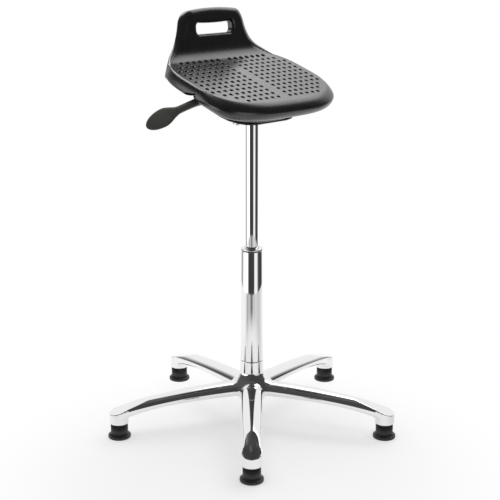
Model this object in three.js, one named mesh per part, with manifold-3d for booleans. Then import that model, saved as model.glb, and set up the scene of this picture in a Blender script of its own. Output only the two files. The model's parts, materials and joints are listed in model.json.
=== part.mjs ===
// Perch stool: a tilted moulded seat with a carrying handle, on a gas lift and a polished five-arm base.
// Millimetres, +Z up. The floor is z = 0. The sitter faces -Y, and the height lever is at the sitter's
// right, towards -X.
import * as THREE from 'three';
import { mergeVertices } from 'three/addons/utils/BufferGeometryUtils.js';
import Module from 'manifold-3d';

const wasm = await Module();
wasm.setup();

// Fits and tolerances
const restGap = 0.3;
const runningGap = 0.3;
const cutOverrun = 2;
const weldDistance = 1e-4;

// Round faces: sides of a full turn
const fineSides = 24;
const mediumSides = 16;
const smallSides = 8;

// Star base
const armCount = 5;
const firstArmAngle = THREE.MathUtils.degToRad(-135);
const glideCircleRadius = 309;
const neckRadius = 25.8;
const neckTopHeight = 148;
const neckEdgeChamfer = 0.8;
const hubBottomHeight = 52;
const hubFootRadius = 29;
const hubFootHeight = 9;
const armRootTopHeight = 99.5;
const armTopDrop = 24;
const armTopCurveShare = 1.88;
const armRootBottomHeight = 68;
const armBottomDrop = 27;
const armBottomCurveShare = 4;
const armRootHalfWidth = 25;
const armTipHalfWidth = 18.6;
const armWidthCurveShare = 1.7;
const armWaistShare = 0.36;
const armCrownShare = 2.2;
const armKeelShare = 2.7;
const armStations = 10;
const armSpreadShape = 1.5;
const armStartShare = 0.35;
const armSectionPoints = 12;
const saddleFilletRadius = 22;
const crotchFlare = 7;
const crotchFlareReach = 42;
const facetStartRadius = 243;
const facetSlope = THREE.MathUtils.degToRad(17.9);
const facetBlockSize = 120;
const pocketStartRadius = 56;
const pocketEndRadius = 264;
const pocketRibShare = 0.45;
const pocketRibThickness = 5;
const pocketWidthShare = 0.58;
const pocketRoof = 10;
const pocketStations = 5;

// Arm tip and glide
const tipRadius = 21.3;
const tipBottomHeight = 34;
const tipShoulderHeight = 56;
const tipDomeHeight = 78;
const tipDomeSteps = 4;
const tipEdgeChamfer = 1.2;
const glideFlangeRadius = 25;
const glideFlangeHeight = 8;
const glideFlangeEdge = 2;
const glideNeckRadius = 19;
const glideNeckHeight = 15;
const glideSoleRadius = 22.5;
const stemRadius = 5.2;
const stemFootHeight = 5;
const stemTopHeight = 54;
const gripRingRadius = 7.2;
const gripRingHeight = 3;
const gripRingDrop = 8;

// Column tube, collar and guide bush
const columnFootRadius = 25.3;
const columnTopRadius = 23.5;
const columnTopHeight = 404;
const columnBoreRadius = 20.5;
const spigotTopRadius = 22;
const spigotFootRadius = 21.4;
const columnFloorHeight = 56;
const columnFloorThickness = 4;
const bushFlangeRadius = 22.9;
const bushFlangeThickness = 1.8;
const bushLength = 80;
const collarRadius = 24.8;
const collarThickness = 3.2;
const collarEdge = 1.1;
const collarGap = 1.3;

// Gas lift
const cylinderRadius = 14;
const cylinderWall = 1.8;
const liftStroke = 260;
const strokeClearance = 1.8;
const rodRadius = 5;
const rodNeckRadius = 4;
const rodFootHeight = 51.5;
const raceRadius = 12;
const raceThickness = 2;
const cageThickness = 4;
const cageRadius = 11.4;
const bumpStopHeight = 14;
const bumpStopRadius = 10.5;
const bumpStopWaist = 1.5;
const rodClipRadius = 8;
const rodClipThickness = 3;
const rodGuideHeight = 12;
const rodSealHeight = 4;
const pistonHeight = 9;
const pistonSealHeight = 2.4;
const pistonSealDepth = 2;
const pistonDepth = 30;

// Taper joint and release valve
const taperLength = 36;
const taperTopHeight = 738;
const taperTopRadius = 12.8;
const taperCapThickness = 4;
const socketRadius = 20;
const socketTopDrop = 3;
const valveHeight = 26;
const pinRadius = 3;
const pinStandOut = 6.7;
const pinLength = 30;

// Seat plane: rise above the taper where it crosses the column axis, and forward tilt
const seatRise = 48.6;
const seatTilt = THREE.MathUtils.degToRad(18.4);

// Seat pad outline at its rim: a rounded oblong, wider than deep
const rimHalfWidth = 176;
const rimFront = 124;
const rimBack = 133;
const rimShape = 3.15;
const rimPoints = 48;
const crownEdge = 6;
const crownEdgeDrop = 0.7;
const rollSteps = 4;
const bulgeReach = 14.5;
const bulgeBackReach = 8.5;
const bulgeDepth = 18;
const lipDepth = 43.5;
const lipBackDepth = 36;
const lipInset = 4.4;
const lipBackInset = 14;
const lipBand = 7;
const lipEdge = 2.5;
const lipRise = 7.5;
const frontCornerShare = 0.75;
const sideShare = 0.1;

// Pits in the sitting surface
const pitPitch = 17.4;
const pitRadius = 4.4;
const pitDepth = 2.6;
const pitSides = 5;
const pitSurfaceLift = 0.8;
const firstPitRow = 100.4;
const fieldSideMargin = 11;
const fieldFrontMargin = 14.5;
const fieldBackMargin = 25.5;

// Carrying handle, moulded with the seat
const handleFront = 112;
const handleLean = THREE.MathUtils.degToRad(22.8);
const handleThickness = 26.5;
const handleTopRise = 94;
const handleRootDepth = 24;
const handleFilletRadius = 21;
const handleNeckHalfWidth = 79.5;
const handleFootHalfWidth = 148;
const handleFlareRise = 24;
const handleTaperRise = 78;
const handleTaper = 30;
const handleCrownRise = 21;
const handleCrownInset = 46;
const handleCrownShape = 3;
const handleEdgeRoll = 12;
const handleFrontRollShare = 0.35;
const handleBackRollRise = 54;
const handleBackRollReach = 21;
const handleBackNarrowShare = 0.2;
const handleBackDrop = 8;
const handleTrimReach = 6;
const handleCoveShare = 0.8;
const handleRoundShare = 0.45;
const handleTaperShape = 1.4;
const handleSliceShape = 1.5;
const handleCornerRadius = 11;
const handleSlices = 12;
const gripHalfLength = 53;
const gripBottomRise = 45;
const gripTopRise = 68;
const gripCornerRadius = 9;
const gripBevel = 5.5;
const cornerPoints = 4;

// Boss under the seat, its pocket and the board moulded into it
const bossHalfWidth = 100;
const bossHalfDepth = 89;
const bossCorner = 55;
const bossDepth = 66;
const bossCentreBack = 4;
const bossDraft = 3;
const pocketHalfWidth = 84;
const pocketHalfDepth = 64;
const pocketCorner = 36;
const boardTopDepth = 17;
const boardThickness = 9;
const boardHalfWidth = 110;
const boardHalfDepth = 92;
const boardCorner = 40;
const plateThickness = 3;
const screwSpacingX = 156;
const screwSpacingY = 124;
const screwRadius = 4;
const screwHeadRadius = 7;
const screwHeadHeight = 4;
const screwTipInset = 2;
const washerRadius = 8.5;
const washerThickness = 1.5;
const sleeveRadius = 6.6;
const teeNutRadius = 9;
const teeNutFlange = 1.4;
const teeNutBarrelRadius = 5.4;
const teeNutBarrelLength = 8;

// Height lever, along -X: its reaches are measured outwards from the column axis
const leverBarThickness = 5;
const leverBarDepth = 6;
const leverNoseReach = 9;
const leverTangLength = 30;
const leverRootReach = 138;
const leverBendReach = 168;
const leverEndReach = 294;
const leverEndDrop = 36;
const leverRootWidth = 21;
const leverRootThickness = 18;
const leverNeckShare = 0.47;
const leverNeckWidth = 10.5;
const leverNeckThickness = 10;
const paddleWidth = 38;
const paddleThickness = 9;
const paddleWidestShare = 0.78;
const paddleEndShare = 0.2;
const paddleTwist = THREE.MathUtils.degToRad(59);
const leverTwistShare = 0.6;
const leverHandleStations = 13;
const leverHandlePoints = 14;
const handleEdgeShape = 2.3;
const handleFaceShape = 2.6;
const pinStroke = 3;
const pivotReach = 68;
const pivotRadius = 3;
const pivotEyeRadius = 6.5;
const pivotHeadRadius = 5;
const pivotHeadThickness = 2;
const bracketLength = 22;
const bracketSideGap = 1.5;
const bracketThickness = 3;
const bracketRise = 6;
const barSlotHalfWidth = 6;
const notchHalfWidth = 17;
const notchRootGap = 8;
const notchHeadroom = 1;

// Finishes
const finishes = {
  polishedAluminium: { color: 0xdcdde0, roughness: 0.08, metalness: 1 },
  chrome: { color: 0xe6e7ea, roughness: 0.05, metalness: 1 },
  steel: { color: 0xa9abae, roughness: 0.35, metalness: 1 },
  blackSteel: { color: 0x1b1b1c, roughness: 0.5, metalness: 0.6 },
  brass: { color: 0xb08d4a, roughness: 0.35, metalness: 1 },
  foam: { color: 0x2b2b2d, roughness: 0.55, metalness: 0 },
  plastic: { color: 0x1c1c1d, roughness: 0.5, metalness: 0 },
  leverPlastic: { color: 0x3b3b39, roughness: 0.4, metalness: 0 },
  rubber: { color: 0x151516, roughness: 0.8, metalness: 0 },
  plywood: { color: 0xb08a5a, roughness: 0.7, metalness: 0 },
};

// Derived places
const xAxis = new THREE.Vector3(1, 0, 0);
const columnFloorTop = columnFloorHeight + columnFloorThickness;
const columnShoulderHeight = neckTopHeight + restGap;
const lowerRaceBottom = columnFloorTop + restGap;
const cageBottom = lowerRaceBottom + raceThickness + restGap;
const upperRaceBottom = cageBottom + cageThickness + restGap;
const rodShoulderHeight = upperRaceBottom + raceThickness + restGap;
const bumpStopBottom = rodShoulderHeight;
const bumpStopTop = bumpStopBottom + bumpStopHeight;
const cylinderFootHeight = bumpStopTop + strokeClearance + liftStroke;
const cylinderBoreRadius = cylinderRadius - cylinderWall;
const rodSealBottom = cylinderFootHeight + rodGuideHeight + restGap;
const pistonBottom = rodSealBottom + rodSealHeight + pistonDepth;
const taperStartHeight = taperTopHeight - taperLength;
const seatHeight = taperTopHeight + seatRise;
const valveTop = taperTopHeight - taperCapThickness - restGap;
const pinTop = taperTopHeight + pinStandOut;
const leverBarHeight = pinTop + restGap + leverBarDepth / 2;
const leverTravel = Math.asin(pinStroke / pivotReach);
const plateTopDepth = bossDepth + restGap;
const plateBottomDepth = plateTopDepth + plateThickness;
const boardBottomDepth = boardTopDepth + boardThickness;

// Turns any closed geometry into a solid with its faces pointing out.
function solid(geometry) {
  const plain = new THREE.BufferGeometry();
  plain.setAttribute('position', geometry.getAttribute('position'));
  if (geometry.index) plain.setIndex(geometry.index);
  const welded = mergeVertices(plain, weldDistance);
  const places = welded.getAttribute('position');
  const corner = [new THREE.Vector3(), new THREE.Vector3(), new THREE.Vector3()];
  const faces = [];
  let volume = 0;
  for (let i = 0; i < welded.index.count; i += 3) {
    const face = [0, 1, 2].map((k) => welded.index.getX(i + k));
    if (face[0] === face[1] || face[1] === face[2] || face[2] === face[0]) continue;
    face.forEach((vertex, k) => corner[k].fromBufferAttribute(places, vertex));
    volume += corner[0].dot(corner[1].cross(corner[2]));
    faces.push(face);
  }
  const outward = volume > 0 ? faces : faces.map((face) => [face[0], face[2], face[1]]);
  return new wasm.Manifold(new wasm.Mesh({
    numProp: 3,
    vertProperties: new Float32Array(places.array),
    triVerts: new Uint32Array(outward.flat()),
  }));
}

// Revolves a profile of [radius, height] pairs about Z.
function revolve(profile, sides) {
  const points = profile.map(([radius, height]) => new THREE.Vector2(radius, height));
  return solid(new THREE.LatheGeometry(points, sides).rotateX(Math.PI / 2));
}

// Revolves a profile that closes on itself round an open bore.
function ring(profile, sides) {
  return revolve([...profile, profile[0]], sides);
}

// A plain washer or tube.
function tube(inner, outer, bottom, top, sides) {
  return ring([[inner, bottom], [outer, bottom], [outer, top], [inner, top]], sides);
}

// A plain round bar.
function bar(radius, bottom, top, sides) {
  return revolve([[0, bottom], [radius, bottom], [radius, top], [0, top]], sides);
}

// Skins a row of closed sections and fans each end to its middle.
function loft(sections) {
  const count = sections[0].length;
  const places = sections.flat().flatMap((point) => point.toArray());
  const faces = [];
  for (let i = 0; i + 1 < sections.length; i += 1) {
    for (let j = 0; j < count; j += 1) {
      const a = i * count + j;
      const b = i * count + ((j + 1) % count);
      faces.push(a, b, b + count, a, b + count, a + count);
    }
  }
  [0, sections.length - 1].forEach((end) => {
    const middle = sections[end].reduce((sum, p) => sum.add(p), new THREE.Vector3()).divideScalar(count);
    const hub = places.length / 3;
    places.push(...middle.toArray());
    for (let j = 0; j < count; j += 1) {
      const a = end * count + j;
      const b = end * count + ((j + 1) % count);
      if (end) faces.push(a, b, hub);
      else faces.push(b, a, hub);
    }
  });
  const geometry = new THREE.BufferGeometry();
  geometry.setAttribute('position', new THREE.Float32BufferAttribute(places, 3));
  geometry.setIndex(faces);
  return solid(geometry);
}

// A box between two corners.
function block(low, high) {
  const size = high.map((value, k) => value - low[k]);
  const box = new THREE.BoxGeometry(...size);
  return solid(box.translate(...low.map((value, k) => value + size[k] / 2)));
}

// Moves a solid by a three.js matrix.
function moved(shape, matrix) {
  return shape.transform(matrix.elements);
}

function shifted(shape, x, y, z) {
  return moved(shape, new THREE.Matrix4().makeTranslation(x, y, z));
}

// Cuts every tool from a shape, or joins every piece to it.
function cut(shape, ...tools) {
  return tools.reduce((left, tool) => left.subtract(tool), shape);
}

function joined(shape, ...pieces) {
  return pieces.reduce((left, piece) => left.add(piece), shape);
}

// Corners of a rounded oblong, as [x, y] pairs anticlockwise.
function oblong(halfX, halfY, radius) {
  const points = [];
  [[1, 1], [-1, 1], [-1, -1], [1, -1]].forEach(([sx, sy], quarter) => {
    for (let i = 0; i <= cornerPoints; i += 1) {
      const angle = (quarter + i / cornerPoints) * (Math.PI / 2);
      points.push([
        sx * (halfX - radius) + radius * Math.cos(angle),
        sy * (halfY - radius) + radius * Math.sin(angle),
      ]);
    }
  });
  return points;
}

// A straight or tapered prism on a rounded oblong, from one level to another.
function oblongPrism(halfX, halfY, radius, bottom, top, centreY = 0, spread = 0) {
  const section = (grow, z) => oblong(halfX + grow, halfY + grow, radius + grow)
    .map(([x, y]) => new THREE.Vector3(x, y + centreY, z));
  return loft([section(0, bottom), section(spread, top)]);
}

// Power curve used by the arm sections and the seat outline.
function bowed(value, shape) {
  return Math.sign(value) * Math.abs(value) ** (2 / shape);
}

// Rise of a hollow quarter-round that starts at its full radius and dies out over it.
function coveRise(distance, radius) {
  if (distance >= radius) return 0;
  const left = 1 - Math.max(distance, 0) / radius;
  return radius * (1 - Math.sqrt(1 - left * left));
}

const stool = new THREE.Group();
const seatGroup = new THREE.Group();
seatGroup.position.set(0, 0, seatHeight);
seatGroup.rotation.x = seatTilt;
seatGroup.updateMatrix();
const toSeatFrame = seatGroup.matrix.clone().invert();
stool.add(seatGroup);

// Adds a named mesh of a solid to a group.
function addNode(group, name, shape, finish) {
  const made = shape.getMesh();
  const geometry = new THREE.BufferGeometry();
  geometry.setAttribute('position', new THREE.BufferAttribute(new Float32Array(made.vertProperties), 3));
  geometry.setIndex(new THREE.BufferAttribute(new Uint32Array(made.triVerts), 1));
  geometry.computeVertexNormals();
  const mesh = new THREE.Mesh(geometry, new THREE.MeshStandardMaterial(finish));
  mesh.name = name;
  group.add(mesh);
}

const armAngles = Array.from({ length: armCount }, (_, i) => firstArmAngle + (i * 2 * Math.PI) / armCount);

// Top, bottom and half width of an arm at a distance from the axis.
function armTop(radius) {
  const along = radius / glideCircleRadius;
  return armRootTopHeight - armTopDrop * along ** armTopCurveShare;
}

function armBottom(radius) {
  const along = radius / glideCircleRadius;
  return armRootBottomHeight - armBottomDrop * along ** armBottomCurveShare;
}

function armHalfWidth(radius) {
  const along = radius / glideCircleRadius;
  const straight = armRootHalfWidth - (armRootHalfWidth - armTipHalfWidth) * along ** armWidthCurveShare;
  const flare = Math.max(0, 1 - Math.max(radius - neckRadius, 0) / crotchFlareReach);
  return straight + crotchFlare * flare ** 2;
}

// One cross-section of an arm that lies along +X: a round crown over a keel that tucks under.
function armSection(radius) {
  const bottom = armBottom(radius);
  const top = armTop(radius) + coveRise(radius - neckRadius, saddleFilletRadius);
  const waist = bottom + armWaistShare * (armTop(radius) - bottom);
  const half = armHalfWidth(radius);
  return Array.from({ length: armSectionPoints }, (_, i) => {
    const angle = (i / armSectionPoints) * 2 * Math.PI;
    const sine = Math.sin(angle);
    const shape = sine > 0 ? armCrownShare : armKeelShare;
    const rise = sine > 0 ? top - waist : waist - bottom;
    return new THREE.Vector3(radius, half * bowed(Math.cos(angle), shape), waist + rise * bowed(sine, shape));
  });
}

// Hollow under an arm between two distances, with a flat roof and upright walls.
function armPocket(start, end) {
  const sections = [];
  for (let i = 0; i < pocketStations; i += 1) {
    const radius = start + ((end - start) * i) / (pocketStations - 1);
    const half = armHalfWidth(radius) * pocketWidthShare;
    const roof = armTop(radius) - pocketRoof;
    const floor = armBottom(radius) - cutOverrun;
    sections.push([[-half, floor], [half, floor], [half, roof], [-half, roof]]
      .map(([y, z]) => new THREE.Vector3(radius, y, z)));
  }
  return loft(sections);
}

// Round boss at the arm's end, with a domed shoulder that the facet slices.
function armTip() {
  const profile = [
    [0, tipBottomHeight], [tipRadius - tipEdgeChamfer, tipBottomHeight],
    [tipRadius, tipBottomHeight + tipEdgeChamfer],
  ];
  for (let i = 0; i <= tipDomeSteps; i += 1) {
    const angle = (i / tipDomeSteps) * (Math.PI / 2);
    const radius = i === tipDomeSteps ? 0 : tipRadius * Math.cos(angle);
    profile.push([radius, tipShoulderHeight + (tipDomeHeight - tipShoulderHeight) * Math.sin(angle)]);
  }
  return shifted(revolve(profile, mediumSides), glideCircleRadius, 0, 0);
}

// Slanting flat on top of the arm that ends in a pointed arch.
function facetCutter() {
  const half = facetBlockSize / 2;
  const slab = block([-half, -half, 0], [facetBlockSize, half, facetBlockSize]);
  const turn = new THREE.Matrix4().makeRotationY(facetSlope);
  return shifted(moved(slab, turn), facetStartRadius, 0, armTop(facetStartRadius));
}

function socketCutter() {
  const radius = stemRadius + restGap;
  const ringRadius = gripRingRadius + restGap;
  const ringTop = stemTopHeight - gripRingDrop + restGap;
  const ceiling = stemTopHeight + restGap;
  return shifted(revolve([
    [0, tipBottomHeight - cutOverrun], [ringRadius, tipBottomHeight - cutOverrun],
    [ringRadius, ringTop], [radius, ringTop], [radius, ceiling], [0, ceiling],
  ], smallSides), glideCircleRadius, 0, 0);
}

function makeArm() {
  const start = neckRadius * armStartShare;
  const sections = Array.from({ length: armStations }, (_, i) => {
    const along = i / (armStations - 1);
    return armSection(start + (glideCircleRadius - start) * along ** armSpreadShape);
  });
  const split = pocketStartRadius + (pocketEndRadius - pocketStartRadius) * pocketRibShare;
  return cut(
    joined(loft(sections), armTip()),
    facetCutter(),
    socketCutter(),
    armPocket(pocketStartRadius, split),
    armPocket(split + pocketRibThickness, pocketEndRadius),
  );
}

function makeStarBase() {
  const arm = makeArm();
  const neck = revolve([
    [0, hubBottomHeight], [hubFootRadius - cutOverrun, hubBottomHeight],
    [hubFootRadius, hubBottomHeight + cutOverrun], [hubFootRadius, hubBottomHeight + hubFootHeight],
    [neckRadius, armRootBottomHeight + hubFootHeight], [neckRadius, neckTopHeight - neckEdgeChamfer],
    [neckRadius - neckEdgeChamfer, neckTopHeight], [0, neckTopHeight],
  ], fineSides);
  const bore = revolve([
    [0, hubBottomHeight - cutOverrun],
    [spigotFootRadius + restGap, hubBottomHeight - cutOverrun],
    [spigotFootRadius + restGap, columnFloorHeight],
    [spigotTopRadius + restGap, neckTopHeight],
    [spigotTopRadius + restGap, neckTopHeight + cutOverrun],
    [0, neckTopHeight + cutOverrun],
  ], fineSides);
  const arms = armAngles.map((angle) => moved(arm, new THREE.Matrix4().makeRotationZ(angle)));
  return cut(joined(neck, ...arms), bore);
}

// Glide: a flared foot under a round neck that meets the arm's tip, with a blind hole for its stem.
function makeGlide() {
  const top = tipBottomHeight - restGap;
  const hole = stemRadius + restGap;
  return revolve([
    [0, 0], [glideSoleRadius, 0], [glideFlangeRadius, glideFlangeEdge],
    [glideFlangeRadius, glideFlangeHeight - glideFlangeEdge],
    [(glideFlangeRadius + glideNeckRadius) / 2, glideFlangeHeight + glideFlangeEdge],
    [glideNeckRadius, glideNeckHeight], [glideNeckRadius, top], [hole, top],
    [hole, stemFootHeight - restGap], [0, stemFootHeight - restGap],
  ], mediumSides);
}

function addBase() {
  addNode(stool, 'star_base', makeStarBase(), finishes.polishedAluminium);
  const glide = makeGlide();
  const stem = bar(stemRadius, stemFootHeight, stemTopHeight, smallSides);
  const ringTop = stemTopHeight - gripRingDrop;
  const grip = tube(stemRadius + restGap, gripRingRadius, ringTop - gripRingHeight, ringTop, smallSides);
  armAngles.forEach((angle, i) => {
    const place = new THREE.Matrix4().makeRotationZ(angle)
      .multiply(new THREE.Matrix4().makeTranslation(glideCircleRadius, 0, 0));
    addNode(stool, `glide_${i + 1}`, moved(glide, place), finishes.rubber);
    addNode(stool, `glide_stem_${i + 1}`, moved(stem, place), finishes.steel);
    addNode(stool, `grip_ring_${i + 1}`, moved(grip, place), finishes.steel);
  });
}

// Column: a slightly conical tube on a plug in the hub, closed by a floor that the lift's rod hangs through.
function addColumn() {
  addNode(stool, 'column_tube', ring([
    [rodNeckRadius + runningGap, columnFloorHeight], [spigotFootRadius, columnFloorHeight],
    [spigotTopRadius, columnShoulderHeight], [columnFootRadius, columnShoulderHeight],
    [columnTopRadius, columnTopHeight], [columnBoreRadius, columnTopHeight],
    [columnBoreRadius, columnFloorTop], [rodNeckRadius + runningGap, columnFloorTop],
  ], fineSides), finishes.chrome);
  const bushBore = cylinderRadius + runningGap;
  const flangeBottom = columnTopHeight + restGap;
  const flangeTop = flangeBottom + bushFlangeThickness;
  addNode(stool, 'guide_bush', ring([
    [bushBore, columnTopHeight - bushLength], [columnBoreRadius - restGap, columnTopHeight - bushLength],
    [columnBoreRadius - restGap, flangeBottom], [bushFlangeRadius, flangeBottom],
    [bushFlangeRadius, flangeTop], [bushBore, flangeTop],
  ], mediumSides), finishes.plastic);
  const collarBottom = flangeTop + restGap;
  const collarTop = collarBottom + collarThickness;
  addNode(stool, 'column_collar', ring([
    [cylinderRadius + collarGap, collarBottom], [collarRadius - collarEdge, collarBottom],
    [collarRadius, collarBottom + collarEdge], [collarRadius, collarTop - collarEdge],
    [collarRadius - collarEdge, collarTop], [cylinderRadius + collarGap, collarTop],
  ], fineSides), finishes.chrome);
  addNode(stool, 'bearing_lower_race', tube(
    rodNeckRadius + runningGap, raceRadius, lowerRaceBottom, lowerRaceBottom + raceThickness, mediumSides,
  ), finishes.steel);
}

// The lift's rod turns on a thrust bearing in the column and carries the piston.
function addPistonRod() {
  const pistonTop = pistonBottom + pistonHeight;
  addNode(stool, 'piston_rod', revolve([
    [0, rodFootHeight], [rodNeckRadius, rodFootHeight], [rodNeckRadius, rodShoulderHeight],
    [rodRadius, rodShoulderHeight], [rodRadius, pistonTop], [0, pistonTop],
  ], smallSides), finishes.steel);
  const clipTop = columnFloorHeight - restGap;
  addNode(stool, 'rod_clip', tube(
    rodNeckRadius + restGap, rodClipRadius, clipTop - rodClipThickness, clipTop, smallSides,
  ), finishes.steel);
  addNode(stool, 'bearing_cage', tube(
    rodNeckRadius + restGap, cageRadius, cageBottom, cageBottom + cageThickness, mediumSides,
  ), finishes.plastic);
  addNode(stool, 'bearing_upper_race', tube(
    rodNeckRadius + restGap, raceRadius, upperRaceBottom, upperRaceBottom + raceThickness, mediumSides,
  ), finishes.steel);
  const bore = rodRadius + restGap;
  addNode(stool, 'bump_stop', ring([
    [bore, bumpStopBottom], [bumpStopRadius, bumpStopBottom],
    [bumpStopRadius - bumpStopWaist, bumpStopBottom + bumpStopHeight / 2],
    [bumpStopRadius, bumpStopTop], [bore, bumpStopTop],
  ], smallSides), finishes.rubber);
  const pistonRadius = cylinderBoreRadius - runningGap;
  const groove = pistonRadius - pistonSealDepth;
  const grooveBottom = pistonBottom + (pistonHeight - pistonSealHeight) / 2 - restGap;
  const grooveTop = grooveBottom + pistonSealHeight + 2 * restGap;
  addNode(stool, 'piston', ring([
    [bore, pistonBottom], [pistonRadius, pistonBottom], [pistonRadius, grooveBottom], [groove, grooveBottom],
    [groove, grooveTop], [pistonRadius, grooveTop], [pistonRadius, pistonTop], [bore, pistonTop],
  ], mediumSides), finishes.brass);
  addNode(stool, 'piston_seal', tube(
    groove + restGap, pistonRadius, grooveBottom + restGap, grooveTop - restGap, mediumSides,
  ), finishes.rubber);
}

// The lift's cylinder: it slides through the guide bush and ends in a taper that wedges in the seat's socket.
function addCylinder() {
  const capBottom = taperTopHeight - taperCapThickness;
  const boreTopRadius = taperTopRadius - cylinderWall;
  addNode(stool, 'gas_cylinder', ring([
    [cylinderBoreRadius, cylinderFootHeight], [cylinderRadius, cylinderFootHeight],
    [cylinderRadius, taperStartHeight], [taperTopRadius, taperTopHeight],
    [pinRadius + runningGap, taperTopHeight], [pinRadius + runningGap, capBottom],
    [boreTopRadius, capBottom], [boreTopRadius, valveTop - valveHeight - restGap],
    [cylinderBoreRadius, taperStartHeight],
  ], fineSides), finishes.chrome);
  const guideRadius = cylinderBoreRadius - restGap;
  addNode(stool, 'rod_guide', tube(
    rodRadius + runningGap, guideRadius, cylinderFootHeight, cylinderFootHeight + rodGuideHeight, mediumSides,
  ), finishes.plastic);
  addNode(stool, 'rod_seal', tube(
    rodRadius + runningGap, guideRadius, rodSealBottom, rodSealBottom + rodSealHeight, mediumSides,
  ), finishes.rubber);
  addNode(stool, 'valve_body', tube(
    pinRadius + runningGap, boreTopRadius - restGap, valveTop - valveHeight, valveTop, smallSides,
  ), finishes.brass);
  addNode(stool, 'release_pin', bar(pinRadius, pinTop - pinLength, pinTop, smallSides), finishes.steel);
}

// Radius of the cylinder's taper at a height.
function taperRadius(height) {
  const along = (height - taperStartHeight) / (taperTopHeight - taperStartHeight);
  return cylinderRadius - (cylinderRadius - taperTopRadius) * along;
}

// Seat outline as a closed ring of points: its reach beyond the rim and its depth below the seat plane go
// from their values in front, round the front corners, to those along the sides and back.
function seatRing(frontReach, backReach, frontDepth, backDepth) {
  return Array.from({ length: rimPoints }, (_, i) => {
    const angle = (i / rimPoints) * 2 * Math.PI;
    const towardsBack = THREE.MathUtils.smoothstep(Math.sin(angle), -frontCornerShare, -sideShare);
    const reach = THREE.MathUtils.lerp(frontReach, backReach, towardsBack);
    const depth = THREE.MathUtils.lerp(frontDepth, backDepth, towardsBack);
    const deep = Math.sin(angle) > 0 ? rimBack : rimFront;
    return new THREE.Vector3(
      (rimHalfWidth + reach) * bowed(Math.cos(angle), rimShape),
      (deep + reach) * bowed(Math.sin(angle), rimShape),
      -depth,
    );
  });
}

// Pad body: flat crown, rolled edge, full flank, lip and a shallow hollow underneath.
function padBody() {
  const even = (reach, depth) => seatRing(reach, reach, depth, depth);
  const lip = (inward, rise) => seatRing(
    -lipInset - inward, -lipBackInset - inward, lipDepth - rise, lipBackDepth - rise,
  );
  const rolled = Array.from({ length: rollSteps }, (_, i) => {
    const angle = ((i + 1) / rollSteps) * (Math.PI / 2);
    const depth = bulgeDepth * (1 - Math.cos(angle));
    return seatRing(bulgeReach * Math.sin(angle), bulgeBackReach * Math.sin(angle), depth, depth);
  });
  return loft([
    even(-crownEdge, 0), even(0, crownEdgeDrop), ...rolled,
    seatRing(bulgeReach / 2, bulgeBackReach / 2, (bulgeDepth + lipDepth) / 2, (bulgeDepth + lipBackDepth) / 2),
    seatRing(-lipInset / 2, -lipBackInset / 2, lipDepth - lipEdge, lipBackDepth - lipEdge),
    lip(0, 0), lip(lipBand, 0), lip(2 * lipBand, lipRise),
  ]);
}

// Half width of the handle at a rise above the seat plane.
function handleHalfWidth(rise) {
  const taper = handleTaper * Math.max(0, 1 - Math.max(rise, 0) / handleTaperRise) ** handleTaperShape;
  const flare = (handleFootHalfWidth - handleNeckHalfWidth - handleTaper)
    * Math.exp(-Math.max(rise, 0) / (handleFlareRise / 2));
  const intoCrown = Math.max(0, rise - (handleTopRise - handleCrownRise)) / handleCrownRise;
  const round = (1 - Math.min(intoCrown, 1) ** handleCrownShape) ** (1 / handleCrownShape);
  const crown = handleCrownInset * (1 - round);
  return handleNeckHalfWidth + taper + flare - crown;
}

// Handle: an upright wall that leans back, fairs into the crown in front and rolls over on top.
function handleBody() {
  const depthAlong = handleThickness / Math.cos(handleLean);
  const lean = Math.tan(handleLean);
  const sections = [];
  for (let i = 0; i <= handleSlices; i += 1) {
    const climb = 1 - (1 - i / handleSlices) ** handleSliceShape;
    const rise = -handleRootDepth + (handleTopRise + handleRootDepth) * climb;
    const intoRoll = Math.max(0, rise - (handleTopRise - handleEdgeRoll)) / handleEdgeRoll;
    const roll = handleEdgeRoll * (1 - Math.sqrt(Math.max(1 - intoRoll ** 2, 0)));
    const cove = coveRise(rise, handleFilletRadius) * handleCoveShare;
    const front = handleFront + lean * rise - cove + roll * handleFrontRollShare;
    const over = Math.max(0, rise - (handleTopRise - handleBackRollRise)) / handleBackRollRise;
    const backRoll = handleBackRollReach * (1 - Math.sqrt(Math.max(1 - over ** 2, 0)));
    const deep = depthAlong - backRoll + cove - roll * handleFrontRollShare;
    const radius = Math.min(handleCornerRadius, deep * handleRoundShare);
    sections.push(oblong(handleHalfWidth(rise), deep / 2, radius).map(([x, y]) => {
      const backShare = over ** 2 * (y / deep + 1 / 2);
      return new THREE.Vector3(
        x * (1 - handleBackNarrowShare * backShare), y + front + deep / 2, rise - handleBackDrop * backShare,
      );
    }));
  }
  const trim = [-handleRootDepth, handleTopRise + cutOverrun].map((rise) => (
    seatRing(handleTrimReach, handleTrimReach, -rise, -rise)
      .map((point) => point.setY(point.y + lean * Math.max(rise, 0)))));
  return loft(sections).intersect(loft(trim));
}

// Hand slot through the handle, square to its face, with both rims bevelled.
function gripCutter() {
  const halfThickness = handleThickness / 2;
  const halfHeight = ((gripTopRise - gripBottomRise) / Math.cos(handleLean)) / 2;
  const section = (depth, grow) => oblong(gripHalfLength + grow, halfHeight + grow, gripCornerRadius + grow)
    .map(([x, z]) => new THREE.Vector3(x, depth, z));
  const outside = halfThickness + cutOverrun;
  const rimGrow = gripBevel + cutOverrun;
  const shape = loft([
    section(-outside, rimGrow), section(-halfThickness + gripBevel, 0),
    section(halfThickness - gripBevel, 0), section(outside, rimGrow),
  ]);
  const middleRise = (gripBottomRise + gripTopRise) / 2;
  const turned = moved(shape, new THREE.Matrix4().makeRotationX(-handleLean));
  const backShift = halfThickness * Math.cos(handleLean);
  const upShift = -halfThickness * Math.sin(handleLean);
  const middleFront = handleFront + Math.tan(handleLean) * middleRise;
  return shifted(turned, 0, middleFront + backShift, middleRise + upShift);
}

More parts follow.
